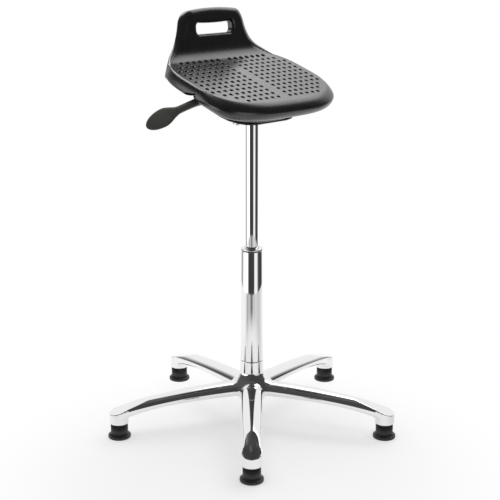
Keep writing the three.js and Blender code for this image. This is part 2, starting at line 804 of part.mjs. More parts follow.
// True where a pit fits inside the smooth border of the sitting surface.
function insideField(x, forward) {
  const reach = forward > 0 ? rimFront - fieldFrontMargin : rimBack - fieldBackMargin;
  const across = Math.abs(x) / (rimHalfWidth - fieldSideMargin);
  return across ** rimShape + Math.abs(forward / reach) ** rimShape < 1;
}

// Square grid of shallow pits in two fields, with the middle column left plain.
function pits() {
  const depth = pitDepth + pitSurfaceLift;
  const radius = pitRadius * (depth / pitDepth);
  const cone = new THREE.ConeGeometry(radius, depth, pitSides).rotateX(-Math.PI / 2);
  const pit = shifted(solid(cone), 0, 0, pitSurfaceLift - depth / 2);
  const placed = [];
  for (let forward = firstPitRow; forward > -rimBack; forward -= pitPitch) {
    for (let x = pitPitch; x < rimHalfWidth; x += pitPitch) {
      if (!insideField(x, forward)) continue;
      placed.push(shifted(pit, x, -forward, 0), shifted(pit, -x, -forward, 0));
    }
  }
  return wasm.Manifold.union(placed);
}

const screwPlaces = [[1, 1], [-1, 1], [-1, -1], [1, -1]].map(([sx, sy]) => [
  (sx * screwSpacingX) / 2, (sy * screwSpacingY) / 2 + bossCentreBack,
]);

// Places one upright shape at each mounting screw, in the seat's frame.
function atScrews(shape) {
  return screwPlaces.map(([x, y]) => shifted(shape, x, y, 0));
}

// How far the lever rises at a reach when it is pulled up.
function leverLift(reach) {
  return (reach - pivotReach) * Math.sin(leverTravel);
}

// Room for the lever: a narrow slot for its bar out of the pocket, and a notch in the lip for its handle.
function leverRoom() {
  const floor = seatHeight - 2 * bossDepth;
  const notchStart = leverRootReach - notchRootGap;
  const barTop = leverBarHeight + leverBarDepth / 2 + leverLift(notchStart) + notchHeadroom;
  const rootTop = leverBarHeight + leverRootThickness / 2;
  const slot = block(
    [-notchStart - cutOverrun, -barSlotHalfWidth, floor], [-pocketHalfWidth / 2, barSlotHalfWidth, barTop],
  );
  const notch = block(
    [-rimHalfWidth - bulgeReach - cutOverrun, -notchHalfWidth, floor],
    [-notchStart, notchHalfWidth, rootTop + leverLift(leverRootReach) + notchHeadroom],
  );
  return moved(joined(slot, notch), toSeatFrame);
}

function makeSeatPad() {
  const boss = oblongPrism(
    bossHalfWidth, bossHalfDepth, bossCorner, -bossDepth, -bulgeDepth, bossCentreBack, bossDraft,
  );
  const pocket = oblongPrism(
    pocketHalfWidth, pocketHalfDepth, pocketCorner,
    -bossDepth - cutOverrun, -boardTopDepth - restGap, bossCentreBack,
  );
  const boardSpace = oblongPrism(
    boardHalfWidth + restGap, boardHalfDepth + restGap, boardCorner + restGap,
    -boardBottomDepth - restGap, -boardTopDepth + restGap, bossCentreBack,
  );
  const sleeveHoles = atScrews(bar(
    sleeveRadius + restGap, -bossDepth - cutOverrun, -boardTopDepth, smallSides,
  ));
  const nutFlangeTop = -boardTopDepth + restGap + teeNutFlange;
  const nutSpaces = atScrews(bar(
    teeNutRadius + restGap, -boardTopDepth, nutFlangeTop + restGap, smallSides,
  ));
  const body = joined(padBody(), boss, handleBody());
  return cut(body, pocket, boardSpace, leverRoom(), ...sleeveHoles, ...nutSpaces, gripCutter(), pits());
}

// A thick slab under the mounting plate's upper face, used to trim what stands on it.
function belowPlate(clearance) {
  const reach = 2 * bossHalfWidth;
  const slab = block([-reach, -reach, -reach - plateTopDepth], [reach, reach, -plateTopDepth + clearance]);
  return moved(slab, seatGroup.matrix);
}

// Lever bracket: two ears on a floor that follows the plate's slope, drilled for the pivot.
function makeBracket() {
  const near = pivotReach - bracketLength / 2;
  const far = pivotReach + bracketLength / 2;
  const inside = leverBarThickness / 2 + bracketSideGap;
  const outside = inside + bracketThickness;
  const top = leverBarHeight + bracketRise;
  const floor = leverBarHeight - bossDepth;
  const outer = block([-far, -outside, floor], [-near, outside, top]);
  const inner = block([-far - cutOverrun, -inside, floor], [-near + cutOverrun, inside, top + cutOverrun]);
  const channel = cut(inner, belowPlate(restGap + bracketThickness));
  return cut(outer, belowPlate(restGap), channel, pivotBar(pivotRadius + restGap, outside + cutOverrun));
}

// Round bar across the lever at its pivot.
function pivotBar(radius, halfLength) {
  const turned = new THREE.Matrix4().makeRotationX(Math.PI / 2).setPosition(-pivotReach, 0, leverBarHeight);
  return moved(bar(radius, -halfLength, halfLength, smallSides), turned);
}

// Lever pivot: a pin with a flat head against each ear.
function makePivotPin() {
  const headStart = leverBarThickness / 2 + bracketSideGap + bracketThickness + restGap;
  const headEnd = headStart + pivotHeadThickness;
  const turned = new THREE.Matrix4().makeRotationX(Math.PI / 2).setPosition(-pivotReach, 0, leverBarHeight);
  return moved(revolve([
    [0, -headEnd], [pivotHeadRadius, -headEnd], [pivotHeadRadius, -headStart], [pivotRadius, -headStart],
    [pivotRadius, headStart], [pivotHeadRadius, headStart], [pivotHeadRadius, headEnd], [0, headEnd],
  ], smallSides), turned);
}

// Lever bar: a flat strip on edge from over the release pin, through the pivot, into the handle.
function makeLeverBar() {
  const strip = block(
    [-leverRootReach - leverTangLength, -leverBarThickness / 2, leverBarHeight - leverBarDepth / 2],
    [leverNoseReach, leverBarThickness / 2, leverBarHeight + leverBarDepth / 2],
  );
  const eye = pivotBar(pivotEyeRadius, leverBarThickness / 2);
  return cut(joined(strip, eye), pivotBar(pivotRadius + runningGap, leverBarThickness));
}

// Width and thickness of the moulded lever handle at a share of its length.
function handleSize(share) {
  if (share < leverNeckShare) {
    const blend = THREE.MathUtils.smoothstep(share, 0, leverNeckShare);
    return [
      THREE.MathUtils.lerp(leverRootWidth, leverNeckWidth, blend),
      THREE.MathUtils.lerp(leverRootThickness, leverNeckThickness, blend),
    ];
  }
  if (share < paddleWidestShare) {
    const along = (share - leverNeckShare) / (paddleWidestShare - leverNeckShare);
    const blend = Math.sin((along * Math.PI) / 2);
    return [
      THREE.MathUtils.lerp(leverNeckWidth, paddleWidth, blend),
      THREE.MathUtils.lerp(leverNeckThickness, paddleThickness, blend),
    ];
  }
  const past = (share - paddleWidestShare) / (1 - paddleWidestShare);
  const left = Math.max(Math.sqrt(1 - past ** 2), paddleEndShare);
  return [paddleWidth * left, paddleThickness * Math.sqrt(left)];
}

// Lever handle: a stalk that droops, narrows and twists into a drop-shaped paddle, slotted for the bar.
function makeLeverHandle() {
  const spine = new THREE.QuadraticBezierCurve3(
    new THREE.Vector3(-leverRootReach, 0, leverBarHeight),
    new THREE.Vector3(-leverBendReach, 0, leverBarHeight),
    new THREE.Vector3(-leverEndReach, 0, leverBarHeight - leverEndDrop),
  );
  const sections = Array.from({ length: leverHandleStations }, (_, i) => {
    const share = Math.sin((i / (leverHandleStations - 1)) * (Math.PI / 2));
    const [width, thickness] = handleSize(share);
    const middle = spine.getPointAt(share);
    const turn = paddleTwist * THREE.MathUtils.smoothstep(share, 0, leverTwistShare);
    return Array.from({ length: leverHandlePoints }, (__, j) => {
      const angle = (j / leverHandlePoints) * 2 * Math.PI;
      const across = (width / 2) * bowed(Math.cos(angle), handleEdgeShape);
      const up = (thickness / 2) * bowed(Math.sin(angle), handleFaceShape);
      return new THREE.Vector3(0, across, up).applyAxisAngle(xAxis, turn).add(middle);
    });
  });
  const halfDepth = leverBarDepth / 2 + restGap;
  const halfThickness = leverBarThickness / 2 + restGap;
  const slot = block(
    [-leverRootReach - leverTangLength - restGap, -halfThickness, leverBarHeight - halfDepth],
    [-leverRootReach + cutOverrun, halfThickness, leverBarHeight + halfDepth],
  );
  return cut(loft(sections), slot);
}

function addSeat() {
  addNode(seatGroup, 'seat_pad', makeSeatPad(), finishes.foam);
  const board = oblongPrism(
    boardHalfWidth, boardHalfDepth, boardCorner, -boardBottomDepth, -boardTopDepth, bossCentreBack,
  );
  const nutHoles = atScrews(bar(
    teeNutBarrelRadius + restGap, -boardBottomDepth - cutOverrun, -boardTopDepth + cutOverrun, smallSides,
  ));
  addNode(seatGroup, 'seat_board', cut(board, ...nutHoles), finishes.plywood);
  const plate = oblongPrism(
    bossHalfWidth, bossHalfDepth, bossCorner, -plateBottomDepth, -plateTopDepth, bossCentreBack,
  );
  const socketHole = moved(bar(
    socketRadius + restGap, taperStartHeight - 2 * socketRadius, taperTopHeight, mediumSides,
  ), toSeatFrame);
  const screwHoles = atScrews(bar(
    screwRadius + restGap, -plateBottomDepth - cutOverrun, -plateTopDepth + cutOverrun, smallSides,
  ));
  addNode(seatGroup, 'mounting_plate', cut(plate, socketHole, ...screwHoles), finishes.blackSteel);
  addFasteners();
}

function addFasteners() {
  const hole = screwRadius + restGap;
  const sleeve = tube(
    hole, sleeveRadius, -plateTopDepth + restGap, -boardBottomDepth - restGap, smallSides,
  );
  const washerTop = -plateBottomDepth - restGap;
  const washerBottom = washerTop - washerThickness;
  const washer = tube(hole, washerRadius, washerBottom, washerTop, smallSides);
  const headTop = washerBottom - restGap;
  const screw = revolve([
    [0, headTop - screwHeadHeight], [screwHeadRadius, headTop - screwHeadHeight],
    [screwHeadRadius, headTop], [screwRadius, headTop],
    [screwRadius, -boardTopDepth - screwTipInset], [0, -boardTopDepth - screwTipInset],
  ], smallSides);
  const flangeBottom = -boardTopDepth + restGap;
  const barrelBottom = flangeBottom - teeNutBarrelLength;
  const nut = ring([
    [hole, barrelBottom], [teeNutBarrelRadius, barrelBottom], [teeNutBarrelRadius, flangeBottom],
    [teeNutRadius, flangeBottom], [teeNutRadius, flangeBottom + teeNutFlange],
    [hole, flangeBottom + teeNutFlange],
  ], smallSides);
  const sets = [
    ['mounting_screw', screw, finishes.steel], ['screw_washer', washer, finishes.steel],
    ['spacer_sleeve', sleeve, finishes.steel], ['tee_nut', nut, finishes.steel],
  ];
  sets.forEach(([name, shape, finish]) => {
    atScrews(shape).forEach((placed, i) => addNode(seatGroup, `${name}_${i + 1}`, placed, finish));
  });
}

function addMechanism() {
  const socketBottom = taperStartHeight;
  const socketTop = taperTopHeight - socketTopDrop;
  addNode(stool, 'taper_socket', ring([
    [taperRadius(socketBottom) + restGap, socketBottom], [socketRadius, socketBottom],
    [socketRadius, socketTop], [taperRadius(socketTop) + restGap, socketTop],
  ], mediumSides), finishes.blackSteel);
  addNode(stool, 'lever_bracket', makeBracket(), finishes.blackSteel);
  addNode(stool, 'lever_pivot', makePivotPin(), finishes.steel);
  addNode(stool, 'lever_bar', makeLeverBar(), finishes.blackSteel);
  addNode(stool, 'lever_handle', makeLeverHandle(), finishes.leverPlastic);
}

addBase();
addColumn();
addPistonRod();
addCylinder();
addSeat();
addMechanism();

// The part's origin is the middle of its footprint on the floor, so the column stands a little off it.
const glideReach = (axis) => armAngles.map((angle) => glideCircleRadius * axis(angle));
const middleOf = (values) => (Math.max(...values) + Math.min(...values)) / 2;
stool.position.set(-middleOf(glideReach(Math.cos)), -middleOf(glideReach(Math.sin)), 0);

const group = new THREE.Group();
group.add(stool);
export default group;
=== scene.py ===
"""Looks of a perch stool: a moulded foam seat with a handle, a gas lift and a polished star base.

Sizes in the classes are millimetres, measured from the column axis and the floor, unless a class says
otherwise.
"""

import json
import logging
import math
from abc import ABC, abstractmethod
from dataclasses import dataclass
from enum import Enum
from typing import Any, Callable, Optional, Sequence

import bpy
import numpy as np
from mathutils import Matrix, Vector


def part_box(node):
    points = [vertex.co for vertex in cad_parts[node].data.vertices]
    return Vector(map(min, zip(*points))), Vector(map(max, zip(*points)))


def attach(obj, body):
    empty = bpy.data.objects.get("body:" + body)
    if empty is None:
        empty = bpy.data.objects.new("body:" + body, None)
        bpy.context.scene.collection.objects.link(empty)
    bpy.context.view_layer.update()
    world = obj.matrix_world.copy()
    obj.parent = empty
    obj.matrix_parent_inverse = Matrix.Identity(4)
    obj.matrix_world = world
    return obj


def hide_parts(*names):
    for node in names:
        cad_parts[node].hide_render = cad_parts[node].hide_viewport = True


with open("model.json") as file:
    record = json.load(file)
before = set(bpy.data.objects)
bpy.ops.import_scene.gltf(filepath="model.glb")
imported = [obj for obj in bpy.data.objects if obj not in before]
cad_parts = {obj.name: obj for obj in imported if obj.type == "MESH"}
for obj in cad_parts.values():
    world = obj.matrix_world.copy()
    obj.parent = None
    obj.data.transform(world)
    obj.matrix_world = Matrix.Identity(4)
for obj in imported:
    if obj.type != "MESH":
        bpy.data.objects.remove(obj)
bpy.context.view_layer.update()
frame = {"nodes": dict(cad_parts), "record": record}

LOG = logging.getLogger("perch_stool")
MM = 0.001
AXIS_RADIUS = 0.01
LEAST_MEAN = 1e-3
LEAST_SLOPE = 1e-6
NOISE_MIDDLE = 0.5
ARC_POINTS = 6
CELL_CORNERS = 8
MIX_FACTOR, MIX_FIRST_COLOUR, MIX_SECOND_COLOUR, MIX_COLOUR_OUT = 0, 6, 7, 2

Array = np.ndarray
Field = Callable[[Array, Array, Array], Array]


class Body(Enum):
    """Part of the stool that moves as one."""

    BASE = "base"
    SEAT = "seat"
    LEVER = "lever"


def node_middle(node: str) -> Array:
    """Middle of a CAD node's box, in millimetres."""
    low, high = (np.array(corner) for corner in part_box(node))
    return (low + high) / 2 / MM


GLIDE_COUNT = 5
COLUMN_X, COLUMN_Y, _ = node_middle("column_tube")
GLIDES = [node_middle(f"glide_{i}") for i in range(1, GLIDE_COUNT + 1)]
ARM_ANGLES = [math.atan2(y - COLUMN_Y, x - COLUMN_X) for x, y, _ in GLIDES]


# Meshes from arrays


def new_mesh(name: str, points: Array, faces: list) -> bpy.types.Object:
    """Makes a linked, smooth-shaded object at the origin.

    Args:
        name: name of the piece.
        points: rows of three in millimetres about the column axis.
        faces: lists of point numbers.

    Returns:
        The new object.
    """
    placed = (points + np.array([COLUMN_X, COLUMN_Y, 0.0])) * MM
    mesh = bpy.data.meshes.new(name)
    mesh.from_pydata(placed.tolist(), [], faces)
    mesh.polygons.foreach_set("use_smooth", np.ones(len(mesh.polygons), bool))
    mesh.update()
    piece = bpy.data.objects.new(name, mesh)
    bpy.context.scene.collection.objects.link(piece)
    return piece


def grid_faces(rows: int, columns: int, closed_rows: bool) -> Array:
    """Quads of a grid of points numbered row by row, each row closed on itself.

    Args:
        rows: number of rows.
        columns: number of points in a row.
        closed_rows: whether the last row joins the first.

    Returns:
        One row of four corners for each quad.
    """
    row, column = np.divmod(np.arange((rows if closed_rows else rows - 1) * columns), columns)
    next_row, next_column = (row + 1) % rows, (column + 1) % columns
    return np.stack([
        row * columns + column, row * columns + next_column,
        next_row * columns + next_column, next_row * columns + column,
    ], axis=1)


def swept_volume(points: Array, corners: Array) -> float:
    """Six times the volume under some faces: the sum of their corners' triple products, fan by fan.

    Args:
        points: rows of three.
        corners: point numbers, one row for each face.

    Returns:
        The sum, negative if the faces point inwards.
    """
    first = points[corners[:, 0]]
    return sum(
        float(np.einsum("ij,ij->i", first, np.cross(points[corners[:, k]], points[corners[:, k + 1]])).sum())
        for k in range(1, corners.shape[1] - 1)
    )


def skin(name: str, surface: Array, closed_rows: bool = False) -> bpy.types.Object:
    """Skins a grid of points whose rows run round the piece.

    Args:
        name: name of the piece.
        surface: points as rows by columns by three.
        closed_rows: whether the last row joins the first; if not, a fan closes each end row to its middle.

    Returns:
        The closed object with its faces pointing outwards.
    """
    rows, columns, _ = surface.shape
    points = surface.reshape(-1, 3)
    quads = grid_faces(rows, columns, closed_rows)
    fans = np.empty((0, 3), int)
    if not closed_rows:
        points = np.vstack([points, surface[0].mean(axis=0), surface[-1].mean(axis=0)])
        around = np.arange(columns)
        after = (around + 1) % columns
        last, tip = (rows - 1) * columns, rows * columns
        fans = np.vstack([
            np.stack([after, around, np.full(columns, tip)], axis=1),
            np.stack([last + around, last + after, np.full(columns, tip + 1)], axis=1),
        ])
    if swept_volume(points, quads) + swept_volume(points, fans) < 0:
        quads, fans = quads[:, ::-1], fans[:, ::-1]
    return new_mesh(name, points, quads.tolist() + fans.tolist())


def arc(centre: tuple[float, float], radius: float, start: float, end: float) -> Array:
    """Points of a circular arc in a profile, with angles in degrees.

    Args:
        centre: its middle as distance and height.
        radius: its radius.
        start: angle of its first point.
        end: angle of its last point.

    Returns:
        One row of distance and height for each point.
    """
    angles = np.radians(np.linspace(start, end, ARC_POINTS))
    return np.stack([centre[0] + radius * np.cos(angles), centre[1] + radius * np.sin(angles)], axis=1)


def turned(
    name: str, profile: Array, centre: tuple[float, float] = (0.0, 0.0), sides: int = 96,
    closed: bool = False,
) -> bpy.types.Object:
    """Turns a profile about an upright axis: a point is its distance times the cosine and sine of the turn.

    Args:
        name: name of the piece.
        profile: rows of distance and height.
        centre: place of the axis.
        sides: points in a full turn.
        closed: whether the profile closes on itself round an open bore.

    Returns:
        The turned object.
    """
    turn = np.linspace(0, 2 * math.pi, sides, endpoint=False)
    distance, height = np.array(profile, float).T[:, :, None]
    surface = np.stack(np.broadcast_arrays(
        centre[0] + distance * np.cos(turn), centre[1] + distance * np.sin(turn), height,
    ), axis=2)
    return skin(name, surface, closed)


# Blended solids: a field is negative inside, and near zero it is about the distance in millimetres


def round_union(a: Array, b: Array, radius: float) -> Array:
    """Joins two fields by a hollow fillet: in it, the radius less the length of what is left."""
    left = np.hypot(np.maximum(radius - a, 0), np.maximum(radius - b, 0))
    return np.maximum(radius, np.minimum(a, b)) - left


def round_overlap(a: Array, b: Array, radius: float) -> Array:
    """Keeps what two fields share, with a round edge: the fillet of their opposites, turned round."""
    return -round_union(-a, -b, radius)


def round_cut(a: Array, b: Array, radius: float) -> Array:
    """Takes field b out of field a and rounds the rim."""
    return round_overlap(a, -b, radius)


def superellipse(x: Array, y: Array, half_x: Any, half_y: Any, shape: float) -> Array:
    """Field of a superellipse: its power mean less one, over the length of that mean's slope.

    Args:
        x: places across.
        y: places along.
        half_x: half size across.
        half_y: half size along.
        shape: exponent, 2 for an ellipse and more for a squarer one.

    Returns:
        About the distance to the outline, negative inside.
    """
    u, v = np.abs(x) / half_x, np.abs(y) / half_y
    mean = np.maximum((u**shape + v**shape) ** (1 / shape), LEAST_MEAN)
    slope_x = (u / mean) ** (shape - 1) / half_x
    slope_y = (v / mean) ** (shape - 1) / half_y
    return (mean - 1) / np.maximum(np.hypot(slope_x, slope_y), LEAST_SLOPE)


def rounded_box(x: Array, y: Array, half_x: Any, half_y: Any, radius: Any) -> Array:
    """Distance to a rectangle with round corners: the length past its corner centres less the radius.

    Args:
        x: places across.
        y: places along.
        half_x: half size across.
        half_y: half size along.
        radius: radius of its corners.

    Returns:
        The distance, negative inside.
    """
    over_x, over_y = np.abs(x) - (half_x - radius), np.abs(y) - (half_y - radius)
    outside = np.hypot(np.maximum(over_x, 0), np.maximum(over_y, 0))
    return outside + np.minimum(np.maximum(over_x, over_y), 0) - radius


def smooth_step(value: Array, start: float, end: float) -> Array:
    """Rises from 0 to 1 between start and end: three times the square less twice the cube."""
    share = np.clip((value - start) / (end - start), 0, 1)
    return share * share * (3 - 2 * share)


@dataclass
class FieldMesher:
    """Meshes the zero level of a field on a grid, with one vertex for each cell that the surface crosses."""

    low: tuple[float, float, float]
    high: tuple[float, float, float]
    step: tuple[float, float, float]
    settle_rounds: int = 4
    settle_share: float = 0.6
    least_steep: float = 0.04
    least_length: float = 1e-9
    probe: float = 0.2

    def slope(self, solid: Field, p: Array) -> Array:
        """Slope of the field by central differences over a short probe length."""
        sides = [solid(*(p + shift).T) - solid(*(p - shift).T) for shift in self.probe * np.eye(3)]
        return np.stack(sides, axis=1) / (2 * self.probe)

    def crossings(self, values: Array, lines: list[Array], cells: Array) -> Array:
        """Mean of the places where a cell's twelve edges cross the surface, each found by proportion.

        Args:
            values: the field on the grid.
            lines: the grid's places along each axis.
            cells: rows of three numbers of the crossed cells.

        Returns:
            One point for each cell.
        """
        total, count = np.zeros((len(cells), 3)), np.zeros(len(cells))
        corners = [np.array([i, j, k]) for i in (0, 1) for j in (0, 1) for k in (0, 1)]
        edges = [
            (a, b) for a in corners for b in corners if (b - a).sum() == 1 and np.abs(b - a).sum() == 1
        ]
        for a, b in edges:
            ia, ib = cells + a, cells + b
            va, vb = values[tuple(ia.T)], values[tuple(ib.T)]
            crossed = (va < 0) != (vb < 0)
            share = np.where(crossed, va / np.where(crossed, va - vb, 1), 0)
            pa = np.stack([lines[k][ia[:, k]] for k in range(3)], axis=1)
            pb = np.stack([lines[k][ib[:, k]] for k in range(3)], axis=1)
            total += np.where(crossed[:, None], pa + share[:, None] * (pb - pa), 0)
            count += crossed
        return total / count[:, None]

    def quads(self, inside: Array, number: Array) -> Array:
        """One quad round each grid edge whose ends lie on either side of the surface, turned outwards.

        Args:
            inside: whether each grid point is inside.
            number: each cell's point number.

        Returns:
            Rows of four point numbers.
        """
        found = []
        for axis in range(3):
            ahead = [slice(None)] * 3
            behind = [slice(None)] * 3
            ahead[axis], behind[axis] = slice(1, None), slice(None, -1)
            first, second = inside[tuple(behind)], inside[tuple(ahead)]
            one, two = (axis + 1) % 3, (axis + 2) % 3
            place = np.argwhere(first != second)
            keep = (place[:, one] > 0) & (place[:, two] > 0)
            keep &= (place[:, one] < inside.shape[one] - 1) & (place[:, two] < inside.shape[two] - 1)
            place = place[keep]
            ring = []
            for back_one, back_two in ((0, 0), (1, 0), (1, 1), (0, 1)):
                cell = place.copy()
                cell[:, one] -= back_one
                cell[:, two] -= back_two
                ring.append(number[tuple(cell.T)])
            ring = np.stack(ring, axis=1)
            outwards = first[tuple(place.T)]
            found.append(np.where(outwards[:, None], ring, ring[:, ::-1]))
        return np.vstack(found)

    def surface(self, solid: Field) -> tuple[Array, Array, Array]:
        """Finds the surface of a field and settles its vertices on it by Newton's rule.

        Args:
            solid: the field, negative inside.

        Returns:
            Points, quads and outward directions at the points.
        """
        lines = [np.arange(a, b + s, s) for a, b, s in zip(self.low, self.high, self.step)]
        layers = [solid(*np.meshgrid(lines[0], lines[1], [z], indexing="ij")) for z in lines[2]]
        values = np.concatenate(layers, axis=2)
        inside = values < 0
        last = np.array(inside.shape) - 1
        count = sum(
            inside[i : last[0] + i, j : last[1] + j, k : last[2] + k].astype(int)
            for i in (0, 1) for j in (0, 1) for k in (0, 1)
        )
        cells = np.argwhere((count > 0) & (count < CELL_CORNERS))
        number = np.full(count.shape, -1)
        number[tuple(cells.T)] = np.arange(len(cells))
        points = self.crossings(values, lines, cells)
        reach = self.settle_share * min(self.step)
        start = points.copy()
        for _ in range(self.settle_rounds):
            slope = self.slope(solid, points)
            steep = np.maximum((slope**2).sum(axis=1), self.least_steep)
            points -= (solid(*points.T) / steep)[:, None] * slope
            points = start + np.clip(points - start, -reach, reach)
        slope = self.slope(solid, points)
        length = np.maximum(np.linalg.norm(slope, axis=1), self.least_length)
        return points, self.quads(inside, number), slope / length[:, None]


# Materials


def grey(tone: float) -> tuple[float, float, float, float]:
    """Grey colour of a tone, with its alpha."""
    return (tone, tone, tone, 1.0)


WHITE = grey(1.0)


class Shade:
    """A value in a material. Its arithmetic adds Math nodes, and numbers alone stay in Python."""

    def __init__(self, bench: "Bench", socket: bpy.types.NodeSocket) -> None:
        """Wraps a socket that gives a value."""
        self.bench = bench
        self.socket = socket

    def _with(self, operation: str, first: Any, second: Any) -> "Shade":
        """Adds one Math node on two operands."""
        node = self.bench.add("ShaderNodeMath", {"operation": operation}, {0: first, 1: second})
        return Shade(self.bench, node.outputs[0])

    def __add__(self, other: Any) -> "Shade":
        """Sum."""
        return self._with("ADD", self, other)

    __radd__ = __add__

    def __sub__(self, other: Any) -> "Shade":
        """Difference."""
        return self._with("SUBTRACT", self, other)

    def __rsub__(self, other: Any) -> "Shade":
        """Difference the other way round."""
        return self._with("SUBTRACT", other, self)

    def __mul__(self, other: Any) -> "Shade":
        """Product."""
        return self._with("MULTIPLY", self, other)

    __rmul__ = __mul__

    def __truediv__(self, other: Any) -> "Shade":
        """Quotient."""
        return self._with("DIVIDE", self, other)

    def __rtruediv__(self, other: Any) -> "Shade":
        """Quotient the other way round."""
        return self._with("DIVIDE", other, self)


class Bench:
    """Builds one material's nodes."""

    def __init__(self, tree: bpy.types.NodeTree) -> None:
        """Starts on an emptied node tree."""
        self.tree = tree
        tree.nodes.clear()

    def add(self, kind: str, settings: dict[str, Any], inputs: dict[Any, Any]) -> bpy.types.Node:
        """Adds a node.

        Args:
            kind: Blender's name of the node type.
            settings: properties that are set first; "stops" are a ramp's places and grey tones.
            inputs: values or links by socket name or number.

        Returns:
            The node.
        """
        node = self.tree.nodes.new(kind)
        for key, value in settings.items():
            if key == "stops":
                self._stops(node.color_ramp, value)
            else:
                setattr(node, key, value)
        for key, value in inputs.items():
            if isinstance(value, Shade):
                self.tree.links.new(value.socket, node.inputs[key])
            elif isinstance(value, bpy.types.NodeSocket):
                self.tree.links.new(value, node.inputs[key])
            else:
                node.inputs[key].default_value = value
        return node

    @staticmethod
    def _stops(ramp: bpy.types.ColorRamp, stops: Sequence[tuple[float, float]]) -> None:
        """Sets a ramp's stops.

        Args:
            ramp: the ramp of a node.
            stops: places and grey tones.
        """
        while len(ramp.elements) < len(stops):
            ramp.elements.new(0.5)
        for element, (place, tone) in zip(ramp.elements, stops):
            element.position = place
            element.color = grey(tone)

    def noise(self, scale: float, detail: float) -> Shade:
        """Noise over the piece's own coordinates.

        Args:
            scale: lumps per metre.
            detail: number of finer layers.

        Returns:
            A value around a half.
        """
        place = self.add("ShaderNodeTexCoord", {}, {}).outputs["Object"]
        node = self.add("ShaderNodeTexNoise", {}, {"Vector": place, "Scale": scale, "Detail": detail})
        return Shade(self, node.outputs["Fac"])

    def blend(self, share: Any, first: Any, second: Any) -> bpy.types.NodeSocket:
        """Colour between two colours or links by a share.

        Args:
            share: value or link, 0 for the first and 1 for the second.
            first: a colour with its alpha, or a link.
            second: the same.

        Returns:
            The colour.
        """
        node = self.add("ShaderNodeMix", {"data_type": "RGBA"}, {
            MIX_FACTOR: share, MIX_FIRST_COLOUR: first, MIX_SECOND_COLOUR: second,
        })
        return node.outputs[MIX_COLOUR_OUT]

    def bump(self, height: Any, depth: float, strength: float) -> bpy.types.NodeSocket:
        """Bumped normal from a height of 0 to 1 over a depth in metres."""
        node = self.add("ShaderNodeBump", {}, {"Strength": strength, "Distance": depth, "Height": height})
        return node.outputs["Normal"]

    def surface(self, shader: bpy.types.NodeSocket) -> None:
        """Links a shader to the material's output."""
        self.add("ShaderNodeOutputMaterial", {}, {"Surface": shader})


@dataclass(frozen=True)
class Finish:
    """A finish of one material slot, with a slightly uneven colour and gloss and a fine grain."""

    name: str
    slot: str
    colour: tuple[float, float, float]
    second_colour: tuple[float, float, float]
    roughness: float
    roughness_spread: float = 0.06
    metallic: float = 0.0
    specular: float = 0.5
    coat: float = 0.0
    coat_roughness: float = 0.1
    mottle_scale: float = 30.0
    mottle_detail: float = 3.0
    grain_scale: float = 1500.0
    grain_detail: float = 2.0
    grain_depth: float = 0.00003
    grain_strength: float = 0.3

    def mixed(self, bench: Bench, share: Any) -> bpy.types.NodeSocket:
        """Colour between the finish's two colours by a share."""
        return bench.blend(share, (*self.colour, 1.0), (*self.second_colour, 1.0))

    def material(self) -> bpy.types.Material:
        """Makes the finish's material, or finds it if it is made.

        Returns:
            The material.
        """
        known = bpy.data.materials.get(self.name)
        if known:
            return known
        made = bpy.data.materials.new(self.name)
        made.use_nodes = True
        bench = Bench(made.node_tree)
        bench.surface(self.shader(bench))
        return made

    def shader(self, bench: Bench) -> bpy.types.NodeSocket:
        """Mottled colour and gloss over a fine grain.

        Args:
            bench: nodes of the material.

        Returns:
            The shader.
        """
        mottle = bench.noise(self.mottle_scale, self.mottle_detail)
        grain = bench.noise(self.grain_scale, self.grain_detail)
        node = bench.add("ShaderNodeBsdfPrincipled", {}, {
            "Base Color": self.mixed(bench, mottle),
            "Roughness": self.roughness + (mottle - NOISE_MIDDLE) * self.roughness_spread * 2,
            "Metallic": self.metallic,
            "Specular IOR Level": self.specular,
            "Coat Weight": self.coat,
            "Coat Roughness": self.coat_roughness,
            "Normal": bench.bump(grain, self.grain_depth, self.grain_strength),
        })
        return node.outputs["BSDF"]

    def dress(self, piece: bpy.types.Object) -> bpy.types.Object:
        """Gives a piece this finish.

        Args:
            piece: the piece.

        Returns:
            The piece.
        """
        piece.data.materials.clear()
        piece.data.materials.append(self.material())
        return piece


@dataclass(frozen=True)
class VeneerFinish(Finish):
    """Raw plywood: pale and dark plies in level layers under a soft grain."""

    plies_per_metre: float = 700.0
    ply_bend: float = 1.5
    ply_share: float = 0.7

    def shader(self, bench: Bench) -> bpy.types.NodeSocket:
        """Bands of plies, bent a little by noise.

        Args:
            bench: nodes of the material.

        Returns:
            The shader.
        """
        place = bench.add("ShaderNodeTexCoord", {}, {}).outputs["Object"]
        bands = bench.add("ShaderNodeTexWave", {"bands_direction": "Z"}, {
            "Vector": place, "Scale": self.plies_per_metre / (2 * math.pi), "Distortion": self.ply_bend,
        })
        grain = bench.noise(self.grain_scale, self.grain_detail)
        share = Shade(bench, bands.outputs["Fac"]) * self.ply_share + grain * (1 - self.ply_share)
        node = bench.add("ShaderNodeBsdfPrincipled", {}, {
            "Base Color": self.mixed(bench, share),
            "Roughness": self.roughness + (grain - NOISE_MIDDLE) * self.roughness_spread,
            "Normal": bench.bump(share, self.grain_depth, self.grain_strength),
        })
        return node.outputs["BSDF"]


